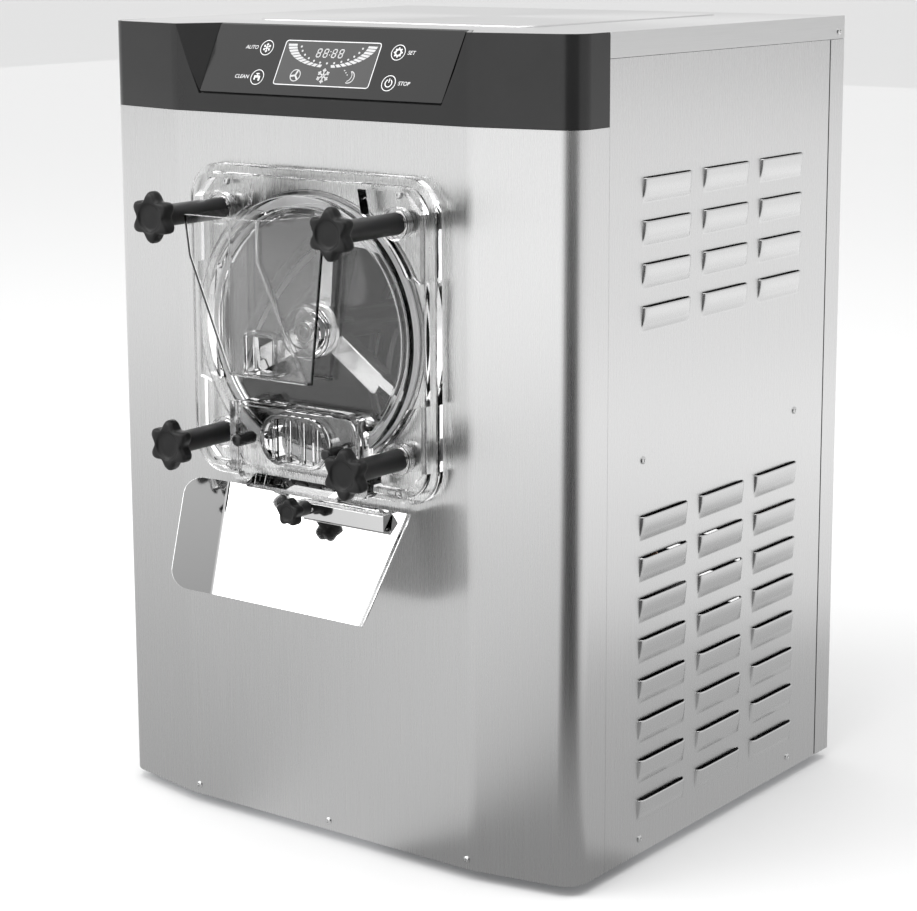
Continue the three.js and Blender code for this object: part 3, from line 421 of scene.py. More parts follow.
def carved(base, steps):
    # joins ("UNION") and cuts ("DIFFERENCE") one bmesh after another
    target = plainObject("carved", base)
    tools = []
    for operation, tool in steps:
        cutter = plainObject("tool", tool)
        modifier = target.modifiers.new("carve", "BOOLEAN")
        modifier.operation = operation
        modifier.solver = "EXACT"
        modifier.object = cutter
        tools.append(cutter)
    evaluated = target.evaluated_get(bpy.context.evaluated_depsgraph_get())
    mesh = bpy.data.meshes.new_from_object(evaluated)
    bm = bmesh.new()
    bm.from_mesh(mesh)
    bpy.data.meshes.remove(mesh)
    for thing in [target, *tools]:
        data = thing.data
        bpy.data.objects.remove(thing)
        bpy.data.meshes.remove(data)
    return bm


casing = {
    "flat": 330, "angle": 10.8, "corner": 21.5, "crease": 5, "setback": 62.7,
    "bandHeight": 76.7, "skirt": 21.4, "wrap": 28.1, "sheet": 1.5, "gap": 0.3,
    "emboss": 1.2, "embossInset": 105, "embossFront": 100, "embossRear": 55,
}
bandBottom = bodyTop - casing["bandHeight"]
skirtBottom = bodyTop - casing["skirt"]
sideEnd = bodyDepth - casing["wrap"]
slope = math.radians(casing["angle"])


def frontCorners(inset, setback):
    # sharp corners of the bowed front in plan, as (across, back)
    edge = halfWidth - inset
    crease = casing["flat"] / 2 - inset * math.tan(slope / 2)
    bend = inset + (edge - crease) * math.tan(slope)
    return [(edge, setback), (edge, bend), (crease, inset), (-crease, inset), (-edge, bend),
            (-edge, setback)]


def softenFront(bm, inset, segments=12):
    # rounds the two corners and eases the two creases of a plan made of frontCorners
    turn = (math.pi / 2 - slope) / 2
    corners = frontCorners(inset, 0)
    for (x, back), reach, steps in ((corners[1], (casing["corner"] - inset) * math.tan(turn), segments),
                                    (corners[2], casing["crease"], 5)):
        for side in (-1, 1):
            spot = at(side * x, -back, 0)
            found = [v for v in bm.verts if abs(v.co.x - spot.x) < 1e-5 and abs(v.co.y - spot.y) < 1e-5]
            rounded(bm, found, reach, steps)


def frontShell(outer, inner, setback, z0, z1):
    corners = frontCorners(outer, setback) + frontCorners(inner, setback)[::-1]
    bm = sheetFace([at(x, -back, z0) for x, back in corners])
    softenFront(bm, outer)
    softenFront(bm, inner)
    return thicken(bm, Vector((0, 0, (z1 - z0) * mm)))


def hullOf(points):
    bm = bmesh.new()
    for point in points:
        bm.verts.new(point)
    bmesh.ops.convex_hull(bm, input=bm.verts)
    bmesh.ops.recalc_face_normals(bm, faces=bm.faces)
    return bm


def evened(piece):
    # keeps big flat faces flat beside their rounded edges
    weighted = piece.modifiers.new("EvenNormals", "WEIGHTED_NORMAL")
    weighted.keep_sharp = True
    return piece


def frontPanel():
    shell = frontShell(0, casing["sheet"], casing["setback"], 0, bandBottom - casing["gap"])
    holes = [rod(0, cylinderZ, 122.6, -8, 4, 96), rod(0, 303.5, 3.6, -8, 4, 24)]
    for stud in ("door_stud_top_left", "door_stud_top_right", "door_stud_bottom_left",
                 "door_stud_bottom_right"):
        x, _, z = middle(stud)
        holes.append(rod(x, z, 5.1, -8, 4, 24))
    bm = carved(shell, [("DIFFERENCE", gather(*holes))])
    piece = evened(pieceFrom("front_panel_steel", bm, "steel"))
    mount(piece, "cabinet", "casing_steel", "front_panel")


louvres = {
    "length": 76, "height": 21, "rise": 4.4, "pitch": 36.5, "columnPitch": 97.5, "columns": 3,
    "firstY": 113.5, "groups": ((4, 597.2), (8, 305.6)), "end": 8.5, "sheet": 1.0,
    "along": (-0.8, 0, 0.8, 2, 4, 6.5, 10, 20, 38, 56, 66, 69.5, 72, 74, 75.2, 76, 76.8),
    "down": (-0.8, 0, 1.2, 3.5, 7, 11, 15, 18, 20, 21, 21.8),
}


def louvreTops():
    for rows, top in louvres["groups"]:
        for row in range(rows):
            yield top - row * louvres["pitch"]


def hoodRise(along, down):
    # full height at the open top edge, falling away to both ends and to the foot
    fromEnd = min(max(min(along, louvres["length"] - along) / louvres["end"], 0.0), 1.0)
    fromFoot = min(max((louvres["height"] - down) / louvres["height"], 0.0), 1.0)
    return louvres["rise"] * math.sqrt(1 - (1 - fromEnd) ** 2) * (1 - (1 - fromFoot) ** 2.2)


def sidePanel(name, side, node):
    y0, y1 = casing["setback"] + casing["gap"], sideEnd - 2.0
    top = skirtBottom - casing["gap"]
    skin = side * halfWidth
    bm = sheetFace([at(skin, -y, z) for y, z in ((y0, 0), (y1, 0), (y1, top), (y0, top))])
    starts = [louvres["firstY"] + column * louvres["columnPitch"] for column in range(louvres["columns"])]
    planes = [(at(skin, -(start + step), 0), (0, 1, 0)) for start in starts for step in louvres["along"]]
    planes += [(at(skin, 0, z - step), (0, 0, 1)) for z in louvreTops() for step in louvres["down"]]
    for place, normal in planes:
        bmesh.ops.bisect_plane(bm, geom=bm.verts[:] + bm.edges[:] + bm.faces[:], dist=1e-7,
                               plane_co=place, plane_no=normal)
    bm.faces.ensure_lookup_table()
    hoods = {}
    for face in bm.faces:
        centre = face.calc_center_median()
        back, z = (centre.y - frontY) / mm, (centre.z - bodyZ) / mm
        for start in starts:
            if start < back < start + louvres["length"]:
                for topZ in louvreTops():
                    if topZ - louvres["height"] < z < topZ:
                        hoods.setdefault((start, topZ), []).append(face)
    lips = []
    for (start, topZ), faces in hoods.items():
        level = at(skin, 0, topZ).z
        for face in faces:
            lips += [e for e in face.edges if all(abs(v.co.z - level) < 1e-6 for v in e.verts)]
    bmesh.ops.split_edges(bm, edges=list(set(lips)))
    moved = set()
    for (start, topZ), faces in hoods.items():
        for face in faces:
            for vert in face.verts:
                if vert not in moved:
                    moved.add(vert)
                    along, down = (vert.co.y - frontY) / mm - start, topZ - (vert.co.z - bodyZ) / mm
                    vert.co.x += side * hoodRise(along, down) * mm
    bmesh.ops.recalc_face_normals(bm, faces=bm.faces)
    if bm.faces[0].normal.x * side < 0:
        bmesh.ops.reverse_faces(bm, faces=bm.faces)
    mesh = bpy.data.meshes.new(name)
    bm.to_mesh(mesh)
    bm.free()
    mesh.materials.append(finishes["steel"])
    mesh.shade_smooth()
    mesh.set_sharp_from_angle(angle=math.radians(40))
    piece = bpy.data.objects.new(name, mesh)
    bpy.context.scene.collection.objects.link(piece)
    wall = piece.modifiers.new("SheetSteel", "SOLIDIFY")
    wall.thickness = louvres["sheet"] * mm
    wall.offset = -1.0
    mount(evened(piece), "cabinet", "casing_steel", node)


vents = {"width": 150, "height": 7, "pitch": 22, "rows": 8, "bottom": 130, "apart": 24}


def rearPanel():
    outer = [(halfWidth, sideEnd), (halfWidth, bodyDepth), (-halfWidth, bodyDepth), (-halfWidth, sideEnd)]
    inner = halfWidth - casing["sheet"]
    liner = [(-inner, sideEnd), (-inner, bodyDepth - casing["sheet"]),
             (inner, bodyDepth - casing["sheet"]), (inner, sideEnd)]
    bm = sheetFace([at(x, -back, 0) for x, back in outer + liner])
    corners = [v for v in bm.verts if v.co.y > at(0, -(bodyDepth - 5), 0).y]
    rounded(bm, [v for v in corners if v.co.y > at(0, -(bodyDepth - 1), 0).y], 3.0, 5)
    shell = thicken(bm, Vector((0, 0, (skirtBottom - casing["gap"]) * mm)))
    slots = []
    for left in (-vents["width"] - vents["apart"] / 2, vents["apart"] / 2):
        for row in range(vents["rows"]):
            slots.append(roundedPlate(left + vents["width"] / 2,
                                      vents["bottom"] + (row + 0.5) * vents["pitch"] - 7.5,
                                      vents["width"], vents["height"], 3.45, -bodyDepth - 5,
                                      -bodyDepth + 5))
    x, _, z = middle("cable_gland")
    slots.append(rod(x, z, 8.3, -bodyDepth - 5, -bodyDepth + 5, 32))
    bm = carved(shell, [("DIFFERENCE", gather(*slots))])
    piece = evened(pieceFrom("rear_panel_steel", bm, "steel"))
    mount(piece, "cabinet", "casing_steel", "rear_panel")


def seams():
    # black gaskets in the joint between each side panel and the rear panel
    strips = []
    for side in (-1, 1):
        strips.append(block(side * (halfWidth - 3), side * (halfWidth - 0.4), -(sideEnd - 1.9),
                            -(sideEnd - 0.1), 1, skirtBottom - 1))
    mount(pieceFrom("seam_gaskets", gather(*strips), "rubber"), "cabinet", "rubber")


def topCover():
    inset = 2.8
    y0 = casing["setback"] + casing["gap"]
    plan = frontCorners(inset, y0) + [(-halfWidth, y0), (-halfWidth, bodyDepth), (halfWidth, bodyDepth),
                                      (halfWidth, y0)]
    bm = sheetFace([at(x, -back, bodyTop - casing["sheet"]) for x, back in plan])
    softenFront(bm, inset)
    rear = [v for v in bm.verts if v.co.y > at(0, -(bodyDepth - 1), 0).y]
    rounded(bm, rear, 3.0, 5)
    plate = thicken(bm, Vector((0, 0, casing["sheet"] * mm)))
    ring = [(-halfWidth, y0), (-halfWidth, bodyDepth), (halfWidth, bodyDepth), (halfWidth, y0)]
    inner = halfWidth - casing["sheet"]
    ring += [(inner, y0), (inner, bodyDepth - casing["sheet"]),
             (-inner, bodyDepth - casing["sheet"]), (-inner, y0)]
    bm = sheetFace([at(x, -back, skirtBottom) for x, back in ring])
    rear = [v for v in bm.verts if v.co.y > at(0, -(bodyDepth - 1), 0).y]
    rounded(bm, rear, 3.0, 5)
    skirt = thicken(bm, Vector((0, 0, (casing["skirt"] - 0.4) * mm)))
    cover = carved(plate, [("UNION", skirt), ("DIFFERENCE", recessBlock(2.8, 5.3, bodyTop + 5))])
    piece = pieceFrom("top_cover_steel", cover, "topSteel")
    roundEdges(piece, 1.1, 3, 50)
    evened(piece)
    mount(piece, "cabinet", "casing_steel", "top_cover")

    # the pressed field in the middle of the cover
    depth = bodyDepth - casing["embossRear"] - casing["embossFront"]
    width = 2 * (halfWidth - casing["embossInset"])
    centre = casing["embossFront"] + depth / 2
    x, y = width / 2, depth / 2
    bm = sheetFace([at(u, -(centre + v), bodyTop - 0.2) for u, v in ((-x, -y), (x, -y), (x, y), (-x, y))])
    rounded(bm, bm.verts[:], 14, 8)
    thicken(bm, Vector((0, 0, (casing["emboss"] + 0.2) * mm)))
    level = at(0, 0, bodyTop + casing["emboss"]).z
    softened(bm, [e for e in bm.edges if all(abs(v.co.z - level) < 1e-6 for v in e.verts)], 1.15, 4)
    mount(evened(pieceFrom("top_cover_field", bm, "topSteel", 60)), "cabinet", "casing_steel")


def casingScrews():
    # button-head screws that hold the casing, each with a round dimple in its head
    places = []
    for x in (-155, 3, 159):
        places.append((at(x, 0, 8.4), forward))
    for side in (-1, 1):
        out = Vector((side, 0, 0))
        for y, z in ((118, 355), (381, 355), (118, 13.6), (381, 13.6), (452, 705.6)):
            places.append((at(side * halfWidth, -y, z), out))
    for x in (-225, 225):
        for z in (40, 355, 660):
            places.append((at(x, -bodyDepth, z), Vector((0, 1, 0))))
    heads = []
    for place, out in places:
        head = turned(place, [(0, -1), (3.4, -1), (3.4, 0.5), (2.9, 1.1), (1.9, 1.5),
                              (1.3, 1.55), (1.0, 0.7), (0, 0.5)], out, 20)
        heads.append(head)
    mount(pieceFrom("casing_screws", gather(*heads), "screwSteel"), "cabinet", "polished_steel")


def feet():
    for name in ("foot_front_left", "foot_front_right", "foot_rear_left", "foot_rear_right"):
        low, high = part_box(name)
        radius = (high.x - low.x) / 2 / mm
        height = (high.z - low.z) / mm
        centre = Vector(((low.x + high.x) / 2, (low.y + high.y) / 2, low.z))
        profile = [(0, 0), (radius - 5, 0), (radius - 3, 0.4), (radius - 1.2, 2),
                   (radius - 0.6, 4), (radius, 7), (radius, height - 0.8),
                   (radius - 0.8, height), (0, height)]
        piece = pieceFrom(name + "_rubber", turned(centre, profile, Vector((0, 0, 1)), 48), "rubber")
        mount(piece, "cabinet", "rubber", name)


recess = {"sill": 16, "bottomHalf": 135.5, "topHalf": 164, "floorHalf": 138, "depth": 33.5,
          "wall": 2.5, "panel": 2.5}
sillZ = bandBottom + recess["sill"]
panelLean = math.atan2(recess["depth"], bodyTop - sillZ)
panelRun = math.hypot(recess["depth"], bodyTop - sillZ)


def recessBlock(grow, back, top):
    def rising(z, start, end):
        return start + (end - start) * (z - sillZ) / (bodyTop - sillZ)

    near = -0.3 if grow else 3
    points = []
    for side in (-1, 1):
        for z in (sillZ - grow, top):
            points.append(at(side * (rising(z, recess["bottomHalf"], recess["topHalf"]) + grow), near, z))
            points.append(at(side * (rising(z, recess["bottomHalf"], recess["floorHalf"]) + grow),
                             -(rising(z, 0, recess["depth"]) + back), z))
    return hullOf(points)


def controlBand():
    shell = frontShell(0, 2.5, casing["setback"], bandBottom, bodyTop)
    holder = recessBlock(recess["wall"], recess["panel"] + recess["wall"], bodyTop)
    bm = carved(shell, [("UNION", holder), ("DIFFERENCE", recessBlock(0, recess["panel"], bodyTop + 2))])
    piece = pieceFrom("control_band", bm, "band")
    roundEdges(piece, 0.9, 3, 20)
    evened(piece)
    mount(piece, "cabinet", "band_plastic", "control_fascia")


panelFrame = Matrix.Translation(at(0, 0, sillZ)) @ Matrix.Rotation(-panelLean, 4, "X")
# from (across, lift, run) laid flat to the slope
onPanel = panelFrame @ Matrix.Translation(-at(0, 0, 0))


def laid(bm):
    bmesh.ops.transform(bm, matrix=onPanel, verts=bm.verts)
    return bm


def runAt(z):
    return (z - sillZ) / math.cos(panelLean)


display = {"width": 106, "height": 42, "left": -53, "low": 12.3, "frame": 0.8, "corner": 3.0,
           "bars": 11, "dots": 13, "digit": (5.0, 8.6, 1.0), "pitch": 7.6}
keys = {"x": 73.5, "highZ": 700, "lowZ": 675, "radius": 7.4, "line": 0.7, "text": 5.2}
markDepth = (-0.02, 0.1)


def bar(x0, z0, x1, z1, width):
    # a thin printed stroke between two points of the panel
    start, end = Vector((x0, z0)), Vector((x1, z1))
    along = (end - start).normalized() * (width * 0.12)
    across = Vector((-(end - start).y, (end - start).x)).normalized() * (width / 2)
    corners = [start - across, end - across, end + across, start + across]
    tips = [corners[0], corners[1], end + along, corners[2], corners[3], start - along]
    bm = sheetFace([at(point.x, markDepth[0], point.y) for point in tips])
    return thicken(bm, at(0, markDepth[1], 0) - at(0, markDepth[0], 0))


def disc(x, z, radius):
    return rod(x, z, radius, markDepth[0], markDepth[1], 20)


def ringMark(x, z, radius, width, start=0.0, end=360.0):
    # a printed ring, or part of one measured clockwise from the top
    steps = max(6, round((end - start) / 9))
    bm = bmesh.new()
    centre = at(x, 0, z)
    corners = [(radius - width, markDepth[0]), (radius, markDepth[0]), (radius, markDepth[1]),
               (radius - width, markDepth[1])]
    turn = Matrix.Rotation(math.radians(start), 3, "Y")
    face = bm.faces.new([bm.verts.new(centre + turn @ Vector((0, -out * mm, r * mm)))
                         for r, out in corners])
    whole = end - start > 359
    outline = face.edges[:] + face.verts[:]
    bmesh.ops.spin(bm, geom=outline if whole else [face, *outline], cent=centre, axis=(0, 1, 0),
                   dvec=(0, 0, 0), angle=math.radians(end - start), steps=steps, use_merge=whole,
                   use_duplicate=False)
    if whole:
        bmesh.ops.delete(bm, geom=[face], context="FACES_ONLY")
    bmesh.ops.remove_doubles(bm, verts=bm.verts, dist=1e-7)
    bmesh.ops.recalc_face_normals(bm, faces=bm.faces)
    return bm


def spokes(x, z, count, inner, outer, width, turn=0.0):
    strokes = []
    for i in range(count):
        angle = math.radians(turn) + 2 * math.pi * i / count
        strokes.append(bar(x + inner * math.sin(angle), z + inner * math.cos(angle),
                           x + outer * math.sin(angle), z + outer * math.cos(angle), width))
    return strokes


def snowflake(x, z, radius, width):
    strokes = spokes(x, z, 6, radius * 0.12, radius, width)
    for i in range(6):
        angle = math.pi * i / 3
        knee = (x + 0.55 * radius * math.sin(angle), z + 0.55 * radius * math.cos(angle))
        for lean in (-0.75, 0.75):
            tip = angle + lean
            strokes.append(bar(knee[0], knee[1], knee[0] + 0.36 * radius * math.sin(tip),
                               knee[1] + 0.36 * radius * math.cos(tip), width))
    return strokes


def word(text, x, z, size, align):
    curve = bpy.data.curves.new("word", "FONT")
    curve.body = text
    curve.size = size * mm
    curve.extrude = 0.04 * mm
    curve.align_x = align
    curve.align_y = "CENTER"
    curve.shear = 0.15
    curve.resolution_u = 3
    holder = bpy.data.objects.new("word", curve)
    bpy.context.scene.collection.objects.link(holder)
    mesh = bpy.data.meshes.new_from_object(holder.evaluated_get(bpy.context.evaluated_depsgraph_get()))
    bpy.data.objects.remove(holder)
    bpy.data.curves.remove(curve)
    bm = bmesh.new()
    bm.from_mesh(mesh)
    bpy.data.meshes.remove(mesh)
    place = Matrix.Translation(at(x, 0.05, z)) @ Matrix.Rotation(math.pi / 2, 4, "X")
    bmesh.ops.transform(bm, matrix=place, verts=bm.verts)
    return bm


def keyMarks():
    x, high, low = keys["x"], runAt(keys["highZ"]), runAt(keys["lowZ"])
    r, line = keys["radius"], keys["line"]
    marks = [ringMark(sx, z, r, line) for sx in (-x, x) for z in (high, low)]
    marks += snowflake(-x, high, 4.4, 0.75)
    marks.append(ringMark(x, high, 3.7, 1.5))
    marks += spokes(x, high, 8, 3.2, 4.6, 1.3)
    marks.append(ringMark(x, low, 3.9, 0.9, 28, 332))
    marks.append(bar(x, low + 0.6, x, low + 4.4, 0.9))
    marks += [bar(-x - 3.6, low + 0.6, -x + 2.2, low + 0.6, 2.0), bar(-x + 2.4, low + 0.9, -x + 2.4,
                                                                      low - 3.2, 1.9),
              bar(-x - 2.9, low + 0.4, -x - 2.9, low - 2.4, 1.6), bar(-x - 0.4, low + 1.4, -x - 0.4,
                                                                      low + 3.2, 1.0),
              bar(-x - 2.2, low + 3.4, -x + 1.5, low + 3.4, 1.0)]
    for text, z, side in (("AUTO", high, -1), ("CLEAN", low, -1), ("SET", high, 1), ("STOP", low, 1)):
        marks.append(word(text, side * (x + r + 2.6), z, keys["text"], "RIGHT" if side < 0 else "LEFT"))
    mount(pieceFrom("key_marks", laid(gather(*marks)), "marks"), "cabinet", "key_panel")


def digitStrokes(x, z, lean=0.12):
    width, height, line = display["digit"]
    a, b = width / 2 - line / 2, height / 2 - line / 2
    ends = [((-a, b), (a, b)), ((-a, 0), (a, 0)), ((-a, -b), (a, -b)), ((-a, 0), (-a, b)),
            ((a, 0), (a, b)), ((-a, -b), (-a, 0)), ((a, -b), (a, 0))]
    strokes = []
    for (x0, z0), (x1, z1) in ends:
        start, end = Vector((x0 + lean * z0, z0)), Vector((x1 + lean * z1, z1))
        shrink = (end - start).normalized() * (line * 0.45)
        start, end = start + shrink, end - shrink
        strokes.append(bar(x + start.x, z + start.y, x + end.x, z + end.y, line))
    return strokes


def displayContent():
    low, left = display["low"], display["left"]
    centre = left + display["width"] / 2
    top = low + display["height"]
    marks = []
    for side in (-1, 1):
        for i in range(display["bars"]):
            span = []
            for step in (i + 0.12, i + 0.88):
                angle = math.radians(4 + 80 * step / display["bars"])
                span.append([(centre + side * rx * math.cos(angle), top - 1.2 - rz * math.sin(angle))
                             for rx, rz in ((50, 23.5), (40, 21.0))])
            corners = [span[0][0], span[0][1], span[1][1], span[1][0]]
            bm = sheetFace([at(x, markDepth[0], z) for x, z in (corners if side > 0 else corners[::-1])])
            marks.append(thicken(bm, at(0, markDepth[1], 0) - at(0, markDepth[0], 0)))
    for i in range(display["dots"]):
        angle = math.radians(12 + 156 * i / (display["dots"] - 1))
        marks.append(disc(centre + 35 * math.cos(angle), top - 1.5 - 19 * math.sin(angle), 1.0))
    digitZ = low + 31
    for i in (-1.62, -0.62, 0.62, 1.62):
        marks += digitStrokes(centre + i * display["pitch"], digitZ)
    marks += [disc(centre + 0.2, digitZ + 1.6, 0.55), disc(centre - 0.2, digitZ - 1.6, 0.55)]
    marks += [ringMark(centre - 31, low + 9, 5.8, 0.8)] + spokes(centre - 31, low + 9, 3,
                                                                 0.2, 5.0, 1.7, 20)
    marks += snowflake(centre, low + 9.6, 7.0, 1.25)
    marks += [ringMark(centre + 29, low + 9.5, 6.0, 0.9, 10, 200), ringMark(centre + 26.4, low + 10.6,
                                                                            5.6, 0.7, 35, 165)]
    marks += [disc(centre + 22 + 2.2 * i, low + 15.5 - 2.0 * i, 0.6) for i in range(3)]
    mount(pieceFrom("display_marks", laid(gather(*marks)), "displayMarks"), "cabinet", "display_window")

    width, height, line = display["width"] + 1.0, display["height"] + 1.0, display["frame"]
    middleZ = low + display["height"] / 2
    outer = roundedPlate(centre, middleZ, width, height, display["corner"], -0.05, 0.14, 0, 6)
    inner = roundedPlate(centre, middleZ, width - 2 * line, height - 2 * line,
                         display["corner"] - line, -1, 1, 0, 6)
    frameLine = carved(outer, [("DIFFERENCE", inner)])
    mount(pieceFrom("display_frame", laid(frameLine), "marks"), "cabinet", "display_window")


def keyPanel():
    low, high = recess["bottomHalf"] - 0.3, recess["floorHalf"] - 1
    bm = sheetFace([at(x, 0, z) for x, z in ((-low, 2), (low, 2), (high, panelRun - 1),
                                             (-high, panelRun - 1))])
    rounded(bm, bm.verts[:], 1.5, 4)
    thicken(bm, at(0, -1.9, 0) - at(0, 0, 0))
    window = roundedPlate(display["left"] + display["width"] / 2, display["low"] + display["height"] / 2,
                          display["width"] + 0.6, display["height"] + 0.6, display["corner"],
                          -1.5, 1, 0, 6)
    bm = carved(bm, [("DIFFERENCE", window)])
    piece = pieceFrom("key_panel_sheet", laid(bm), "keyPanel")
    roundEdges(piece, 0.25, 2, 50)
    mount(evened(piece), "cabinet", "key_panel", "key_panel")

    glass = roundedPlate(display["left"] + display["width"] / 2, display["low"] + display["height"] / 2,
                         display["width"], display["height"], display["corner"] - 0.3, -1.2, 0, 0.15, 6)
    mount(evened(pieceFrom("display_glass", laid(glass), "display")), "cabinet", "display_window",
          "display_window")


frontPanel()
sidePanel("left_side_steel", -1, "left_side_panel")
sidePanel("right_side_steel", 1, "right_side_panel")
rearPanel()
seams()
topCover()
casingScrews()
feet()
controlBand()
keyPanel()
keyMarks()
displayContent()
print("casing and controls ready")


door = {"width": 277, "height": 280, "corner": 32, "rim": 7, "back": 4, "flangeFace": 12, "face": 18,
        "pocketFloor": 7.2}
studX, _, studTopZ = middle("door_stud_top_right")
studBottomZ = middle("door_stud_bottom_right")[2]
studs = [(side * studX, z) for z in (studTopZ, studBottomZ) for side in (-1, 1)]


def pocketTool(sideX, sideZ):
    reachX = door["width"] / 2 - door["rim"] - 5
    reachZ = door["height"] / 2 - door["rim"] - 5
    corners = [(reachX - 18, reachZ), (reachX, reachZ - 18), (reachX, 52)]
    corners += [(124 * math.cos(math.radians(a)), 124 * math.sin(math.radians(a)))
                for a in range(27, 60, 4)]
    corners.append((60, reachZ))
    bm = sheetFace([at(sideX * x, door["pocketFloor"], cylinderZ + sideZ * z) for x, z in corners])
    thicken(bm, at(0, 40, 0) - at(0, door["pocketFloor"], 0))
    floorY = at(0, door["pocketFloor"], 0).y
    softened(bm, [e for e in bm.edges if all(abs(v.co.y - floorY) < 1e-6 for v in e.verts)], 1.0, 3)
    return bm


def slantedBlock(x0, x1, section):
    # a section of (out, z) corners run across from x0 to x1
    bm = sheetFace([at(x0, out, z) for out, z in section])
    return thicken(bm, at(x1, 0, 0) - at(x0, 0, 0))


hopper = {"left": -79, "right": 8, "flare": 25, "back": 24.6, "depth": 61, "kinkDepth": 55.7, "toe": 8,
          "top": 563, "kink": 527, "bottom": 415, "wall": 2.8}
feed = {"x": -61, "z": 419, "width": 32, "height": 33, "boss": 4}
gate = {"seat": 27, "half": 67.5, "top": 391, "height": 55, "thick": 5.4, "window": (77, 46),
        "rim": 4, "bars": 4, "pegX": 50.5, "pegZ": 363, "pegRadius": 5.6, "pegReach": 54.6}
gateBack = gate["seat"] + 0.3
gateFace = gateBack + gate["thick"]


def doorPlate():
    middleZ = cylinderZ
    flange = roundedPlate(0, middleZ, door["width"], door["height"], door["corner"], door["back"],
                          door["flangeFace"], 2.4, 12)
    inset = 2 * door["rim"]
    tier = roundedPlate(0, middleZ, door["width"] - inset, door["height"] - inset,
                        door["corner"] - door["rim"], door["back"] + 1, door["face"], 2.2, 12)
    pockets = gather(*[pocketTool(x, z) for x in (-1, 1) for z in (-1, 1)])
    centre = at(0, 0, middleZ)
    profile = [(0, 7), (103.5, 7), (104, 6.5), (104, 4), (119.6, 4), (119.2, 22.2),
               (118.8, 23.3), (117.8, 24), (110.4, 24), (109.4, 23.4), (109, 22.4), (108.2, 16.6),
               (107.4, 15.9), (103.6, 15.9), (102.6, 15.5), (102, 14.3), (101.2, 14), (0, 14)]
    dish = turned(centre, profile, forward, 112)
    profile = [(0, 8), (25, 8), (25, 15), (24.4, 16), (22.4, 16.4), (21.9, 17), (21.6, 23),
               (20.9, 24), (14, 24), (13.2, 23.2), (13, 22.5), (0, 22.5)]
    hubBoss = turned(centre, profile, forward, 64)
    feedBoss = roundedPlate(feed["x"] + feed["width"] / 2, feed["z"] + feed["height"] / 2,
                            feed["width"] + 2 * feed["boss"], feed["height"] + 2 * feed["boss"], 5,
                            8, 24, 0.8, 5)
    seatZ = (320 + gate["top"] + 2) / 2
    seat = roundedPlate(0, seatZ, 148.2, gate["top"] + 2 - 320, 9, 4.5, gate["seat"], 1.4, 6)
    rails = []
    for side in (-1, 1):
        rails.append(roundedPlate(side * 71.1, 361.5, 5.6, 62.6, 1.5, 26, 35.4, 1.0, 3))
        rails.append(roundedPlate(side * 69.1, 361.5, 10, 63, 1.5, 33.2, 36, 0.8, 3))
    lip = slantedBlock(-52, 52, [(5, 319), (40, 319), (40, 322.4), (38.5, 323.2), (27, 329), (5, 329)])
    cups = gather(*[turned(at(x, 0, z), [(0, 6.8), (13.2, 6.8), (14.6, 17.4), (14, 18), (0, 18)],
                           forward, 40) for x, z in studs])
    cupHoles = gather(*[turned(at(x, 0, z), [(0, 7.0), (10.6, 7.0), (11.4, 30), (0, 30)],
                               forward, 40) for x, z in studs])
    throat = roundedPlate(0, 358, 80, 36, 17, -3, 60, 0, 14)
    feedHole = roundedPlate(feed["x"] + feed["width"] / 2, feed["z"] + feed["height"] / 2, feed["width"],
                            feed["height"], 2, -5, 60, 0, 4)
    holes = gather(*[rod(x, z, 5.1, -3, 40, 28) for x, z in studs])
    bm = carved(flange, [
        ("UNION", tier), ("DIFFERENCE", pockets), ("UNION", cups),
        ("DIFFERENCE", rod(0, middleZ, 118.6, -10, 60, 112)), ("UNION", dish), ("UNION", hubBoss),
        ("UNION", feedBoss), ("UNION", seat), *[("UNION", rail) for rail in rails], ("UNION", lip),
        ("DIFFERENCE", rod(0, middleZ, 104, -10, 7, 112)), ("DIFFERENCE", cupHoles),
        ("DIFFERENCE", rod(0, middleZ, 9.6, -10, 19.6, 40)), ("DIFFERENCE", throat),
        ("DIFFERENCE", feedHole), ("DIFFERENCE", holes)])
    mount(evened(pieceFrom("door_plate_clear", bm, "clear", 28)), "door", "clear_plastic", "freezer_door")


def doorFittings():
    # ribbed steel bushes between the door and each knob, and the four small screws near the corners
    bushes = []
    for x, z in studs:
        profile = [(5.2, 7.3), (9.6, 7.3), (9.6, 8.3), (8.7, 8.6), (8.7, 9.2), (9.6, 9.5),
                   (9.6, 10.5), (8.7, 10.8), (8.7, 11.4), (9.6, 11.7), (9.6, 13.2), (8.9, 13.9),
                   (5.2, 13.9), (5.2, 7.3)]
        bushes.append(turned(at(x, 0, z), profile, forward, 48))
    mount(pieceFrom("stud_bushes", gather(*bushes), "screwSteel"), "door", "polished_steel")
    heads = []
    for x in (-97, 97):
        for z in (584, 327):
            profile = [(0, 7.3), (3.6, 7.3), (3.6, 9.3), (3.0, 10.3), (1.8, 10.7), (1.2, 10.6),
                       (1.0, 9.6), (0, 9.5)]
            heads.append(turned(at(x, 0, z), profile, forward, 24))
    mount(pieceFrom("door_screws", gather(*heads), "screwSteel"), "door", "polished_steel")


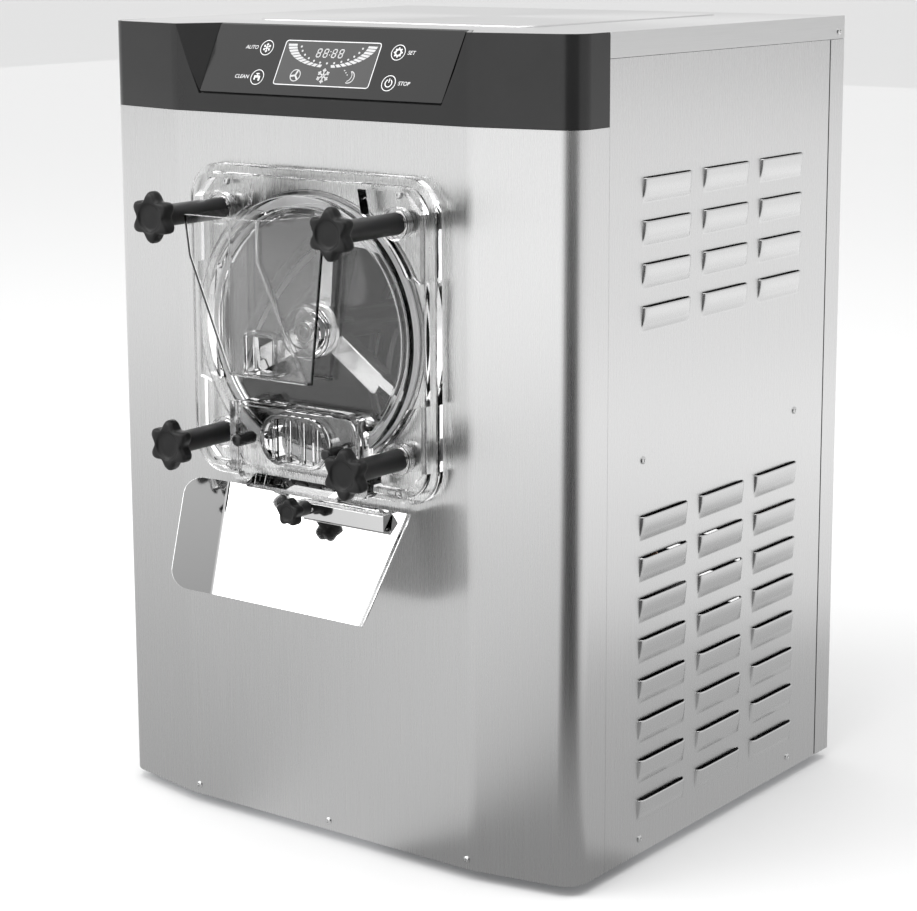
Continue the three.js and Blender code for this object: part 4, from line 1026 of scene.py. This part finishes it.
def feedHopper():
    h = hopper
    levels = [(h["bottom"], h["toe"], 13, 16), (h["kink"], h["kinkDepth"], 3, 29),
              (h["top"], h["depth"], h["right"], h["right"] + h["flare"])]
    bm = bmesh.new()
    rings = []
    for z, depth, right, flare in levels:
        corners = [(h["left"], h["back"]), (h["left"], h["back"] + depth), (right, h["back"] + depth),
                   (flare, h["back"])]
        verts = [bm.verts.new(at(x, out, z)) for x, out in corners]
        rings.append([bm.edges.new((verts[i], verts[i - 1])) for i in range(4)])
    bmesh.ops.contextual_create(bm, geom=rings[0])
    bmesh.ops.bridge_loops(bm, edges=rings[0] + rings[1])
    bmesh.ops.bridge_loops(bm, edges=rings[1] + rings[2])
    bmesh.ops.recalc_face_normals(bm, faces=bm.faces)
    upright = [e for e in bm.edges if len(e.link_faces) == 2
               and e.calc_face_angle(0) > 0.6 and abs((e.verts[0].co - e.verts[1].co).z) > 20 * mm]
    softened(bm, upright, 4.6, 5)
    foot = at(0, 0, h["bottom"]).z
    softened(bm, [e for e in bm.edges if len(e.link_faces) == 2 and all(abs(v.co.z - foot) < 1e-6
                                                                        for v in e.verts)],
             3.6, 5)
    bmesh.ops.remove_doubles(bm, verts=bm.verts, dist=1e-6)
    bmesh.ops.recalc_face_normals(bm, faces=bm.faces)
    bmesh.ops.solidify(bm, geom=bm.faces[:], thickness=h["wall"] * mm)
    bmesh.ops.recalc_face_normals(bm, faces=bm.faces)
    for vert in bm.verts:
        vert.co.x = max(vert.co.x, at(h["left"], 0, 0).x)
    outlet = roundedPlate(feed["x"] + feed["width"] / 2, feed["z"] + feed["height"] / 2, feed["width"],
                          feed["height"], 2, h["back"] - 4, h["back"] + h["wall"] + 1.5, 0, 4)
    bm = carved(bm, [("DIFFERENCE", outlet)])
    piece = pieceFrom("feed_hopper_clear", bm, "clear", 35)
    roundEdges(piece, 1.0, 3, 60)
    mount(evened(piece), "door", "clear_plastic", "feed_hopper")


def dischargeGate():
    bottom = gate["top"] - gate["height"]
    middleZ = bottom + gate["height"] / 2
    plate = roundedPlate(0, middleZ, 2 * gate["half"], gate["height"], 14, gateBack, gateFace, 1.3, 10)
    width, height = gate["window"]
    rim = gate["rim"]
    outer = roundedPlate(0, middleZ + 1, width, height, height / 2 - 1, gateFace - 1,
                         gateFace + rim, 1.3, 14)
    inner = roundedPlate(0, middleZ + 1, width - 2 * rim, height - 2 * rim, height / 2 - rim - 1,
                         gateFace - 1.6, gateFace + 20, 0, 14)
    bars = []
    for i in range(gate["bars"]):
        x = (i - (gate["bars"] - 1) / 2) * width / (gate["bars"] + 1)
        bars.append(roundedPlate(x, middleZ + 1, 4, height - 5, 1.0, gateFace - 2,
                                 gateFace + rim - 0.4, 0.8, 3))
    spigots = gather(*[rod(side * gate["pegX"], gate["pegZ"], 3.3, 20, 60, 24) for side in (-1, 1)])
    bm = carved(plate, [("UNION", outer), ("DIFFERENCE", inner)] + [("UNION", bar) for bar in bars]
                + [("DIFFERENCE", spigots)])
    mount(evened(pieceFrom("discharge_gate_clear", bm, "clear", 30)), "gate", "clear_plastic",
          "discharge_gate")

    for name, side in (("gate_peg_left", -1), ("gate_peg_right", 1)):
        r, reach = gate["pegRadius"], gate["pegReach"]
        profile = [(0, gateBack), (3, gateBack), (3, gateFace + 0.3), (r - 0.5, gateFace + 0.3),
                   (r, gateFace + 0.9), (r, reach - 3), (r - 0.2, reach - 1.8), (r - 0.9, reach - 0.7),
                   (r - 2, reach - 0.1), (0, reach)]
        peg = turned(at(side * gate["pegX"], 0, gate["pegZ"]), profile, forward, 40)
        mount(pieceFrom(name + "_black", peg, "blackGloss"), "gate", "black_plastic", name)


knob = {"radius": 22.5, "lobes": 6, "thick": 13, "sleeve": 9.5, "back": 14.3, "hollow": 0.135,
        "bore": 5.3, "clear": 0.4}


def starKnob(place, radius, lobes, back, face, thick, sleeve, hollow, bore, boreEnd):
    # a sleeve and a star head in one moulding over a blind bore, its lobes drawn in from a turned blank
    head = face - thick
    scale = radius / 22.5
    profile = [(0, boreEnd), (bore, boreEnd), (bore, back), (sleeve - 0.9, back),
               (sleeve - 0.3, back + 0.3), (sleeve, back + 1.0), (sleeve, head - 1.2),
               (sleeve + 1.0, head - 0.2), (radius - 3.6 * scale, head),
               (radius - 1.8 * scale, head + 0.6 * scale), (radius - 0.6 * scale, head + 2.0 * scale),
               (radius, head + 4.2 * scale), (radius, face - 4.2 * scale),
               (radius - 0.5 * scale, face - 2.4 * scale), (radius - 1.8 * scale, face - 0.9 * scale),
               (radius - 4.0 * scale, face - 0.2 * scale), (radius - 6.0 * scale, face),
               (13.6 * scale, face - 0.3 * scale), (12.6 * scale, face - 0.9 * scale),
               (11.8 * scale, face - 1.9 * scale), (9.0 * scale, face - 2.5 * scale),
               (5.0 * scale, face - 2.2 * scale), (0, face - 1.9 * scale)]
    bm = turned(place, profile, forward, lobes * 16)
    for vert in bm.verts:
        x, z = (vert.co.x - place.x) / mm, (vert.co.z - place.z) / mm
        reach = math.hypot(x, z)
        if reach > sleeve + 0.5 and (place.y - vert.co.y) / mm > head - 0.9:
            share = min(1.0, max(0.0, (reach - 12.2 * scale) / (8.0 * scale)))
            pull = 1 - hollow * (1 - math.cos(lobes * math.atan2(x, z))) * share
            vert.co.x, vert.co.z = place.x + x * pull * mm, place.z + z * pull * mm
    return bm


def knobs():
    for name in ("top_left", "top_right", "bottom_left", "bottom_right"):
        node = "door_knob_" + name
        x, _, z = middle(node)
        face = (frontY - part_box(node)[0].y) / mm
        boreEnd = (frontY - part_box("door_stud_" + name)[0].y) / mm + knob["clear"]
        bm = starKnob(at(x, 0, z), knob["radius"], knob["lobes"], knob["back"], face, knob["thick"],
                      knob["sleeve"], knob["hollow"], knob["bore"], boreEnd)
        mount(pieceFrom(node + "_star", bm, "black", 50), "knob_" + name, "black_plastic", node)
    face = (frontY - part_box("chute_knob")[0].y) / mm
    back = (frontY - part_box("chute_knob")[1].y) / mm
    boreEnd = (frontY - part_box("chute_bracket")[0].y) / mm + knob["clear"]
    bm = starKnob(at(0, 0, chute["knobZ"]), 12.5, 5, back, face, 11, 6.5, 0.12, 3.4, boreEnd)
    mount(pieceFrom("chute_knob_star", bm, "black", 50), "chute_nut", "black_plastic", "chute_knob")


chute = {"top": 310, "topHalf": 103, "topOut": 6, "bottom": 217.6, "bottomHalf": 85,
         "bottomOut": 51.5, "sheet": 1.2, "wing": 40, "bend": 50, "corner": 17, "fold": 2.5,
         "knobZ": 303.5}


def chuteTray():
    c = chute
    fall = (at(0, c["bottomOut"], c["bottom"]) - at(0, c["topOut"], c["top"])).normalized()
    lift = Vector((0, fall.z, -fall.y))
    bm = bmesh.new()
    rows = []
    for side in (-1, 1):
        top = at(side * c["topHalf"], c["topOut"], c["top"])
        bottom = at(side * c["bottomHalf"], c["bottomOut"], c["bottom"])
        crease = (bottom - top).normalized()
        outward = lift.cross(crease)
        if outward.x * side < 0:
            outward.negate()
        bend = math.radians(c["bend"])
        across = outward * math.cos(bend) + lift * math.sin(bend)
        inset = crease * 1 * mm
        tips = [bm.verts.new(top + inset + across * c["wing"] * mm),
                bm.verts.new(bottom - inset + across * c["wing"] * mm)]
        folds = [bm.verts.new(top), bm.verts.new(bottom)]
        rows.append((tips, folds))
    (leftTips, leftFolds), (rightTips, rightFolds) = rows
    bm.faces.new([leftFolds[0], leftFolds[1], rightFolds[1], rightFolds[0]])
    bm.faces.new([leftTips[0], leftTips[1], leftFolds[1], leftFolds[0]])
    bm.faces.new([rightFolds[0], rightFolds[1], rightTips[1], rightTips[0]])
    bmesh.ops.bevel(bm, geom=leftTips + rightTips, offset=c["corner"] * mm, segments=10,
                    affect="VERTICES", profile=0.5, material=-1)
    bmesh.ops.recalc_face_normals(bm, faces=bm.faces)
    if bm.faces[0].normal.z < 0:
        bmesh.ops.reverse_faces(bm, faces=bm.faces)
    folds = [e for e in bm.edges if len(e.link_faces) == 2]
    softened(bm, folds, c["fold"], 5)
    bmesh.ops.recalc_face_normals(bm, faces=bm.faces)
    if sum((f.normal.z * f.calc_area() for f in bm.faces), 0.0) < 0:
        bmesh.ops.reverse_faces(bm, faces=bm.faces)
    bmesh.ops.solidify(bm, geom=bm.faces[:], thickness=c["sheet"] * mm)
    bm = carved(bm, [("DIFFERENCE", rod(0, c["knobZ"], 3.6, -10, 60, 28))])
    piece = pieceFrom("chute_tray_polished", bm, "mirrorSteel", 40)
    roundEdges(piece, 0.3, 2, 60)
    mount(evened(piece), "chute", "polished_steel", "chute_tray")


doorPlate()
doorFittings()
feedHopper()
dischargeGate()
knobs()
chuteTray()
print("door, hopper, gate, knobs and chute ready")


stirrer = {"outer": 96, "inner": 74, "thick": 9, "turn": 150, "start": 4, "end": 242,
           "steps": 40, "count": 3, "scraperIn": 97, "scraperOut": 103.5, "scraperThick": 5, "shaft": 14,
           "shaftEnd": 292}


def twisted(section, turn, start, end, steps, first):
    # a section of (across, radius) corners run back through the chamber, turning as it goes
    axis = at(0, 0, cylinderZ)
    bm = sheetFace([at(x, -start, cylinderZ + r) for x, r in section])
    spin = Matrix.Rotation(math.radians(first), 3, "Y")
    bmesh.ops.rotate(bm, cent=axis, matrix=spin, verts=bm.verts)
    step = Matrix.Rotation(math.radians(turn / steps), 3, "Y")
    rear = bm.faces[:]
    for i in range(steps):
        made = bmesh.ops.extrude_face_region(bm, geom=rear)
        verts = [item for item in made["geom"] if isinstance(item, bmesh.types.BMVert)]
        if i:
            bmesh.ops.delete(bm, geom=rear, context="FACES")
        rear = [item for item in made["geom"] if isinstance(item, bmesh.types.BMFace)]
        bmesh.ops.translate(bm, verts=verts, vec=at(0, -(end - start) / steps, 0) - at(0, 0, 0))
        bmesh.ops.rotate(bm, cent=axis, matrix=step, verts=verts)
    bmesh.ops.recalc_face_normals(bm, faces=bm.faces)
    return bm


def spiralStirrer():
    s = stirrer
    half = s["thick"] / 2
    centre = at(0, 0, cylinderZ)
    parts = []
    shaft = [(0, 18.6), (4.6, 18.6), (5.6, 17.6), (5.6, 1), (12, 0.6), (12, -0.5), (21, -0.5),
             (22.6, -1), (24, -2.4), (24, -24.6), (22.6, -26), (s["shaft"], -26), (s["shaft"], -216),
             (22.6, -216), (24, -217.4), (24, -240.6), (22.6, -242), (s["shaft"], -242),
             (s["shaft"], -s["shaftEnd"] + 1), (s["shaft"] - 1, -s["shaftEnd"]), (0, -s["shaftEnd"])]
    parts.append(turned(centre, shaft, forward, 64))
    section = [(-half, s["inner"] + 1), (-half + 1, s["inner"]), (half - 1, s["inner"]),
               (half, s["inner"] + 1), (half, s["outer"] - 1), (half - 1, s["outer"]),
               (-half + 1, s["outer"]), (-half, s["outer"] - 1)]
    for i in range(s["count"]):
        first = 360 * i / s["count"]
        parts.append(twisted(section, s["turn"], s["start"], s["end"], s["steps"], first))
        for back, turnThere in ((s["start"] + 1, 0), (s["end"] - 15, s["turn"])):
            along = turnThere * (back + 7 - s["start"]) / (s["end"] - s["start"]) if turnThere else 4.4
            arm = roundedPlate(0, cylinderZ + 46, 21, 66, 4, -back - 14, -back, 1.2, 3)
            swing = Matrix.Rotation(math.radians(first + along), 3, "Y")
            bmesh.ops.rotate(arm, cent=centre, matrix=swing, verts=arm.verts)
            parts.append(arm)
    mount(pieceFrom("stirrer_steel", gather(*parts), "stirrerSteel", 35), "stirrer",
          "polished_steel", "beater")
    bush = [(5.8, 1.4), (9.2, 1.4), (9.2, 18), (8.7, 18.8), (7.9, 19), (7.6, 18.2), (7.1, 18.2),
            (6.8, 19), (6.2, 18.8), (5.8, 18.2), (5.8, 1.4)]
    mount(pieceFrom("shaft_bush_white", turned(centre, bush, forward, 56), "white"), "stirrer",
          "white_plastic")
    t = s["scraperThick"] / 2
    section = [(-t, s["scraperIn"]), (t, s["scraperIn"]), (t, s["scraperOut"] - 2),
               (t - 2, s["scraperOut"]), (-t + 0.6, s["scraperOut"]), (-t, s["scraperOut"] - 0.6)]
    for i in range(s["count"]):
        blade = twisted(section, s["turn"], s["start"], s["end"], s["steps"], 360 * i / s["count"])
        name = "scraper_blade_" + str(i + 1)
        mount(pieceFrom(name + "_white", blade, "white", 35), "stirrer", "white_plastic", name)


def freezingCylinder():
    centre = at(0, 0, cylinderZ)
    profile = [(105, 1), (106, 1.0), (121.4, 1), (122, 0.4), (122, -5), (111, -5), (111, -258),
               (20, -258), (20, -250), (99, -250), (103, -249), (104.6, -246.6), (105, -243), (105, 1)]
    piece = pieceFrom("freezing_cylinder_steel", turned(centre, profile, forward, 128),
                      "chamberSteel", 35)
    mount(piece, "cabinet", "polished_steel", "freezing_cylinder")
    seal = [(109, 3.7), (117, 3.7), (118, 3.2), (118, 1.4), (109, 1.4), (108.4, 2.2),
            (108.4, 3.2), (109, 3.7)]
    piece = pieceFrom("door_seal_rubber", turned(centre, seal, forward, 112), "sealRubber")
    mount(piece, "cabinet", "rubber", "door_seal")


clamp = {"left": -12, "right": 86, "height": 14, "face": 20, "sheet": 1.2}


def chuteClamp():
    # a folded strip that hooks the chute's top edge over the bracket
    top = chute["knobZ"] + 4.5
    fall = chute["bottomOut"] - chute["topOut"]
    weldOut = chute["topOut"] + fall * (chute["top"] - top) / (chute["top"] - chute["bottom"])
    left, right, face, sheet = clamp["left"], clamp["right"], clamp["face"], clamp["sheet"]
    section = [(weldOut + 1.2, top), (face, top), (face, top - clamp["height"]),
               (face - sheet, top - clamp["height"]), (face - sheet, top - sheet),
               (weldOut + 1.2, top - sheet)]
    strip = slantedBlock(left, right, section)
    lipEdges = [e for e in strip.edges if all(abs(v.co.y - at(0, face, 0).y) < 1e-6
                                              and abs(v.co.z - at(0, 0, top).z)
                                              < 1e-6 for v in e.verts)]
    softened(strip, lipEdges, 0.9, 4)
    cheek = slantedBlock(right - sheet, right, [(face, top), (face, top - clamp["height"]),
                                                (weldOut + 1.2, top)])
    slot = roundedPlate(left + 12, top - 5.4, 15, 4.4, 1.6, face - 4, face + 2, 0, 4)
    bm = carved(strip, [("UNION", cheek), ("DIFFERENCE", rod(0, chute["knobZ"], 3.7, -10, 60, 28)),
                        ("DIFFERENCE", slot)])
    piece = pieceFrom("chute_clamp_polished", bm, "mirrorSteel", 35)
    roundEdges(piece, 0.2, 2, 60)
    mount(evened(piece), "chute", "polished_steel", "chute_clamp")


def chuteBracket():
    low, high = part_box("chute_bracket")
    reach = (frontY - low.y) / mm
    padX, padZ = high.x / mm, (low.z + high.z) / 2 / mm - bodyZ / mm
    pad = roundedPlate(0, padZ, 2 * padX, (high.z - low.z) / mm, 3, 0.3, 4.2, 0.8, 5)
    turns = [(0, -1)]
    for i in range(24):
        out = reach - 26 + i * 1.0
        turns += [(3.0, out), (2.6, out + 0.5)]
    stud = turned(at(0, 0, chute["knobZ"]), turns + [(2.4, reach - 0.6), (0, reach)], forward, 28)
    bm = gather(pad, stud)
    mount(pieceFrom("chute_bracket_steel", bm, "mirrorSteel", 35), "cabinet", "polished_steel",
          "chute_bracket")


spiralStirrer()
freezingCylinder()
chuteClamp()
chuteBracket()
print("stirrer, cylinder and chute fittings ready")



stageValues = {
    "cameraPlace": (1.3472, -1.7779, 0.8212),
    "cameraTurn": (79.57, 0.239, 36.86),
    "lens": 95.02,
    "cameraShift": -0.1,
    "darkHeading": 48, "darkEdge": (0.84, 0.93), "darkTone": 0.06, "floorGlow": (0.58, 1.15),
    "glowHeading": -6, "glowEdge": (0.87, 0.985), "glowTone": 1.7,
    "sideHeading": 143, "sideEdge": (0.3, 0.8), "sideTone": 1.45,
    "floorSize": 60.0,
    "floorTone": 0.82,
    "skyStrength": 1.0,
}


def towardsHeading(graph, direction, degrees, edge):
    # 1 where a direction points within the given spread of a heading, whatever its height
    flat = graph.node("ShaderNodeVectorMath", {"operation": "MULTIPLY"}, {0: direction, 1: (1, 1, 0)})
    heading = graph.node("ShaderNodeVectorMath", {"operation": "NORMALIZE"}, {0: flat})
    angle = math.radians(degrees)
    towards = graph.node("ShaderNodeVectorMath", {"operation": "DOT_PRODUCT"},
                         {0: heading, 1: (math.sin(angle), -math.cos(angle), 0)}, output="Value")
    return graph.node("ShaderNodeMapRange", {"interpolation_type": "SMOOTHSTEP"},
                      {"Value": towards, "From Min": edge[0], "From Max": edge[1]})


def studioSky():
    world = bpy.data.worlds.new("StudioSky")
    bpy.context.scene.world = world
    world.use_nodes = True
    graph = Graph(world.node_tree)
    direction = graph.node("ShaderNodeTexCoord", output="Generated")
    height = graph.node("ShaderNodeVectorMath", {"operation": "DOT_PRODUCT"},
                        {0: direction, 1: (0, 0, 1)}, output="Value")
    low = graph.node("ShaderNodeMapRange", {"interpolation_type": "SMOOTHSTEP"},
                     {"Value": height, "From Min": 0.74, "From Max": 0.3})
    dark = towardsHeading(graph, direction, stageValues["darkHeading"], stageValues["darkEdge"])
    glow = towardsHeading(graph, direction, stageValues["glowHeading"], stageValues["glowEdge"])
    shade = graph.blend(glow, grey(0.87), grey(stageValues["glowTone"]))
    shade = graph.blend(dark * low, shade, grey(stageValues["darkTone"] * 0.5))
    background = graph.node("ShaderNodeBackground", {},
                            {"Color": shade, "Strength": stageValues["skyStrength"]})
    graph.node("ShaderNodeOutputWorld", {}, {"Surface": background})


def studioLight(name, place, target, size, power):
    data = bpy.data.lights.new(name, "AREA")
    data.shape = "RECTANGLE"
    data.size, data.size_y = size
    data.energy = power
    light = bpy.data.objects.new(name, data)
    bpy.context.scene.collection.objects.link(light)
    light.location = place
    light.rotation_euler = (Vector(target) - Vector(place)).to_track_quat("-Z", "Y").to_euler()


def floor():
    bm = bmesh.new()
    bmesh.ops.create_grid(bm, x_segments=1, y_segments=1, size=stageValues["floorSize"] / 2)
    mesh = bpy.data.meshes.new("studio_floor")
    bm.to_mesh(mesh)
    bm.free()

    def build(graph):
        cloud = graph.noise(1.2, detail=2.0)
        tone = stageValues["floorTone"]
        return {"Base Color": graph.blend(cloud, grey(tone * 0.99), grey(tone)), "Roughness": 0.9}

    mesh.materials.append(makeMaterial("PaleFloor", build))
    plane = bpy.data.objects.new("studio_floor", mesh)
    bpy.context.scene.collection.objects.link(plane)


def reflectionFloor():
    # what the steel mirrors below the horizon: dim near the machine, brighter far off, dark one way
    bm = bmesh.new()
    bmesh.ops.create_grid(bm, x_segments=1, y_segments=1, size=9)
    bmesh.ops.translate(bm, verts=bm.verts, vec=(0, 0, 0.004))
    mesh = bpy.data.meshes.new("reflection_floor")
    bm.to_mesh(mesh)
    bm.free()
    values = stageValues

    def build(graph):
        place = graph.node("ShaderNodeTexCoord", output="Object")
        flat = graph.node("ShaderNodeVectorMath", {"operation": "MULTIPLY"}, {0: place, 1: (1, 1, 0)})
        reach = graph.node("ShaderNodeVectorMath", {"operation": "LENGTH"}, {0: flat}, output="Value")

        def fade(near, far, low=0.0, high=1.0, kind="SMOOTHSTEP"):
            return graph.node("ShaderNodeMapRange", {"interpolation_type": kind},
                              {"Value": reach, "From Min": near, "From Max": far, "To Min": low,
                               "To Max": high})

        dark = towardsHeading(graph, place, values["darkHeading"],
                              values["darkEdge"]) * fade(0.42, 1.0, 0.4)
        side = towardsHeading(graph, place, values["sideHeading"], values["sideEdge"])
        front = towardsHeading(graph, place, values["glowHeading"], values["glowEdge"])
        shade = graph.blend(side * fade(0.65, 1.0) * fade(3.2, 1.7), grey(1.0), grey(values["sideTone"]))
        shade = graph.blend(front, shade, grey(1.3))
        shade = graph.blend(dark, shade, grey(values["darkTone"]))
        glow = fade(0.3, 3.2, *values["floorGlow"], kind="LINEAR")
        lit = graph.node("ShaderNodeVectorMath", {"operation": "SCALE"}, {0: shade, "Scale": glow})
        return {"Base Color": grey(0.0), "Specular IOR Level": 0.0, "Emission Color": lit,
                "Emission Strength": 1.0}

    mesh.materials.append(makeMaterial("ReflectionFloor", build))
    plane = bpy.data.objects.new("reflection_floor", mesh)
    bpy.context.scene.collection.objects.link(plane)
    for ray in ("camera", "diffuse", "shadow", "transmission"):
        setattr(plane, "visible_" + ray, False)


def camera():
    data = bpy.data.cameras.new("Camera")
    data.lens = stageValues["lens"]
    data.shift_y = stageValues["cameraShift"]
    data.clip_end = 100.0
    holder = bpy.data.objects.new("Camera", data)
    bpy.context.scene.collection.objects.link(holder)
    holder.location = stageValues["cameraPlace"]
    holder.rotation_euler = [math.radians(a) for a in stageValues["cameraTurn"]]
    bpy.context.scene.camera = holder


studioSky()
studioLight("KeyLight", (-2.2, -2.6, 2.6), (0, 0, 0.4), (2.4, 2.4), 60)
studioLight("TopLight", (0.4, -0.4, 3.2), (0, 0, 0.4), (3.0, 3.0), 50)
floor()
reflectionFloor()
camera()
bpy.context.scene.view_settings.view_transform = "Standard"
print("stage ready")
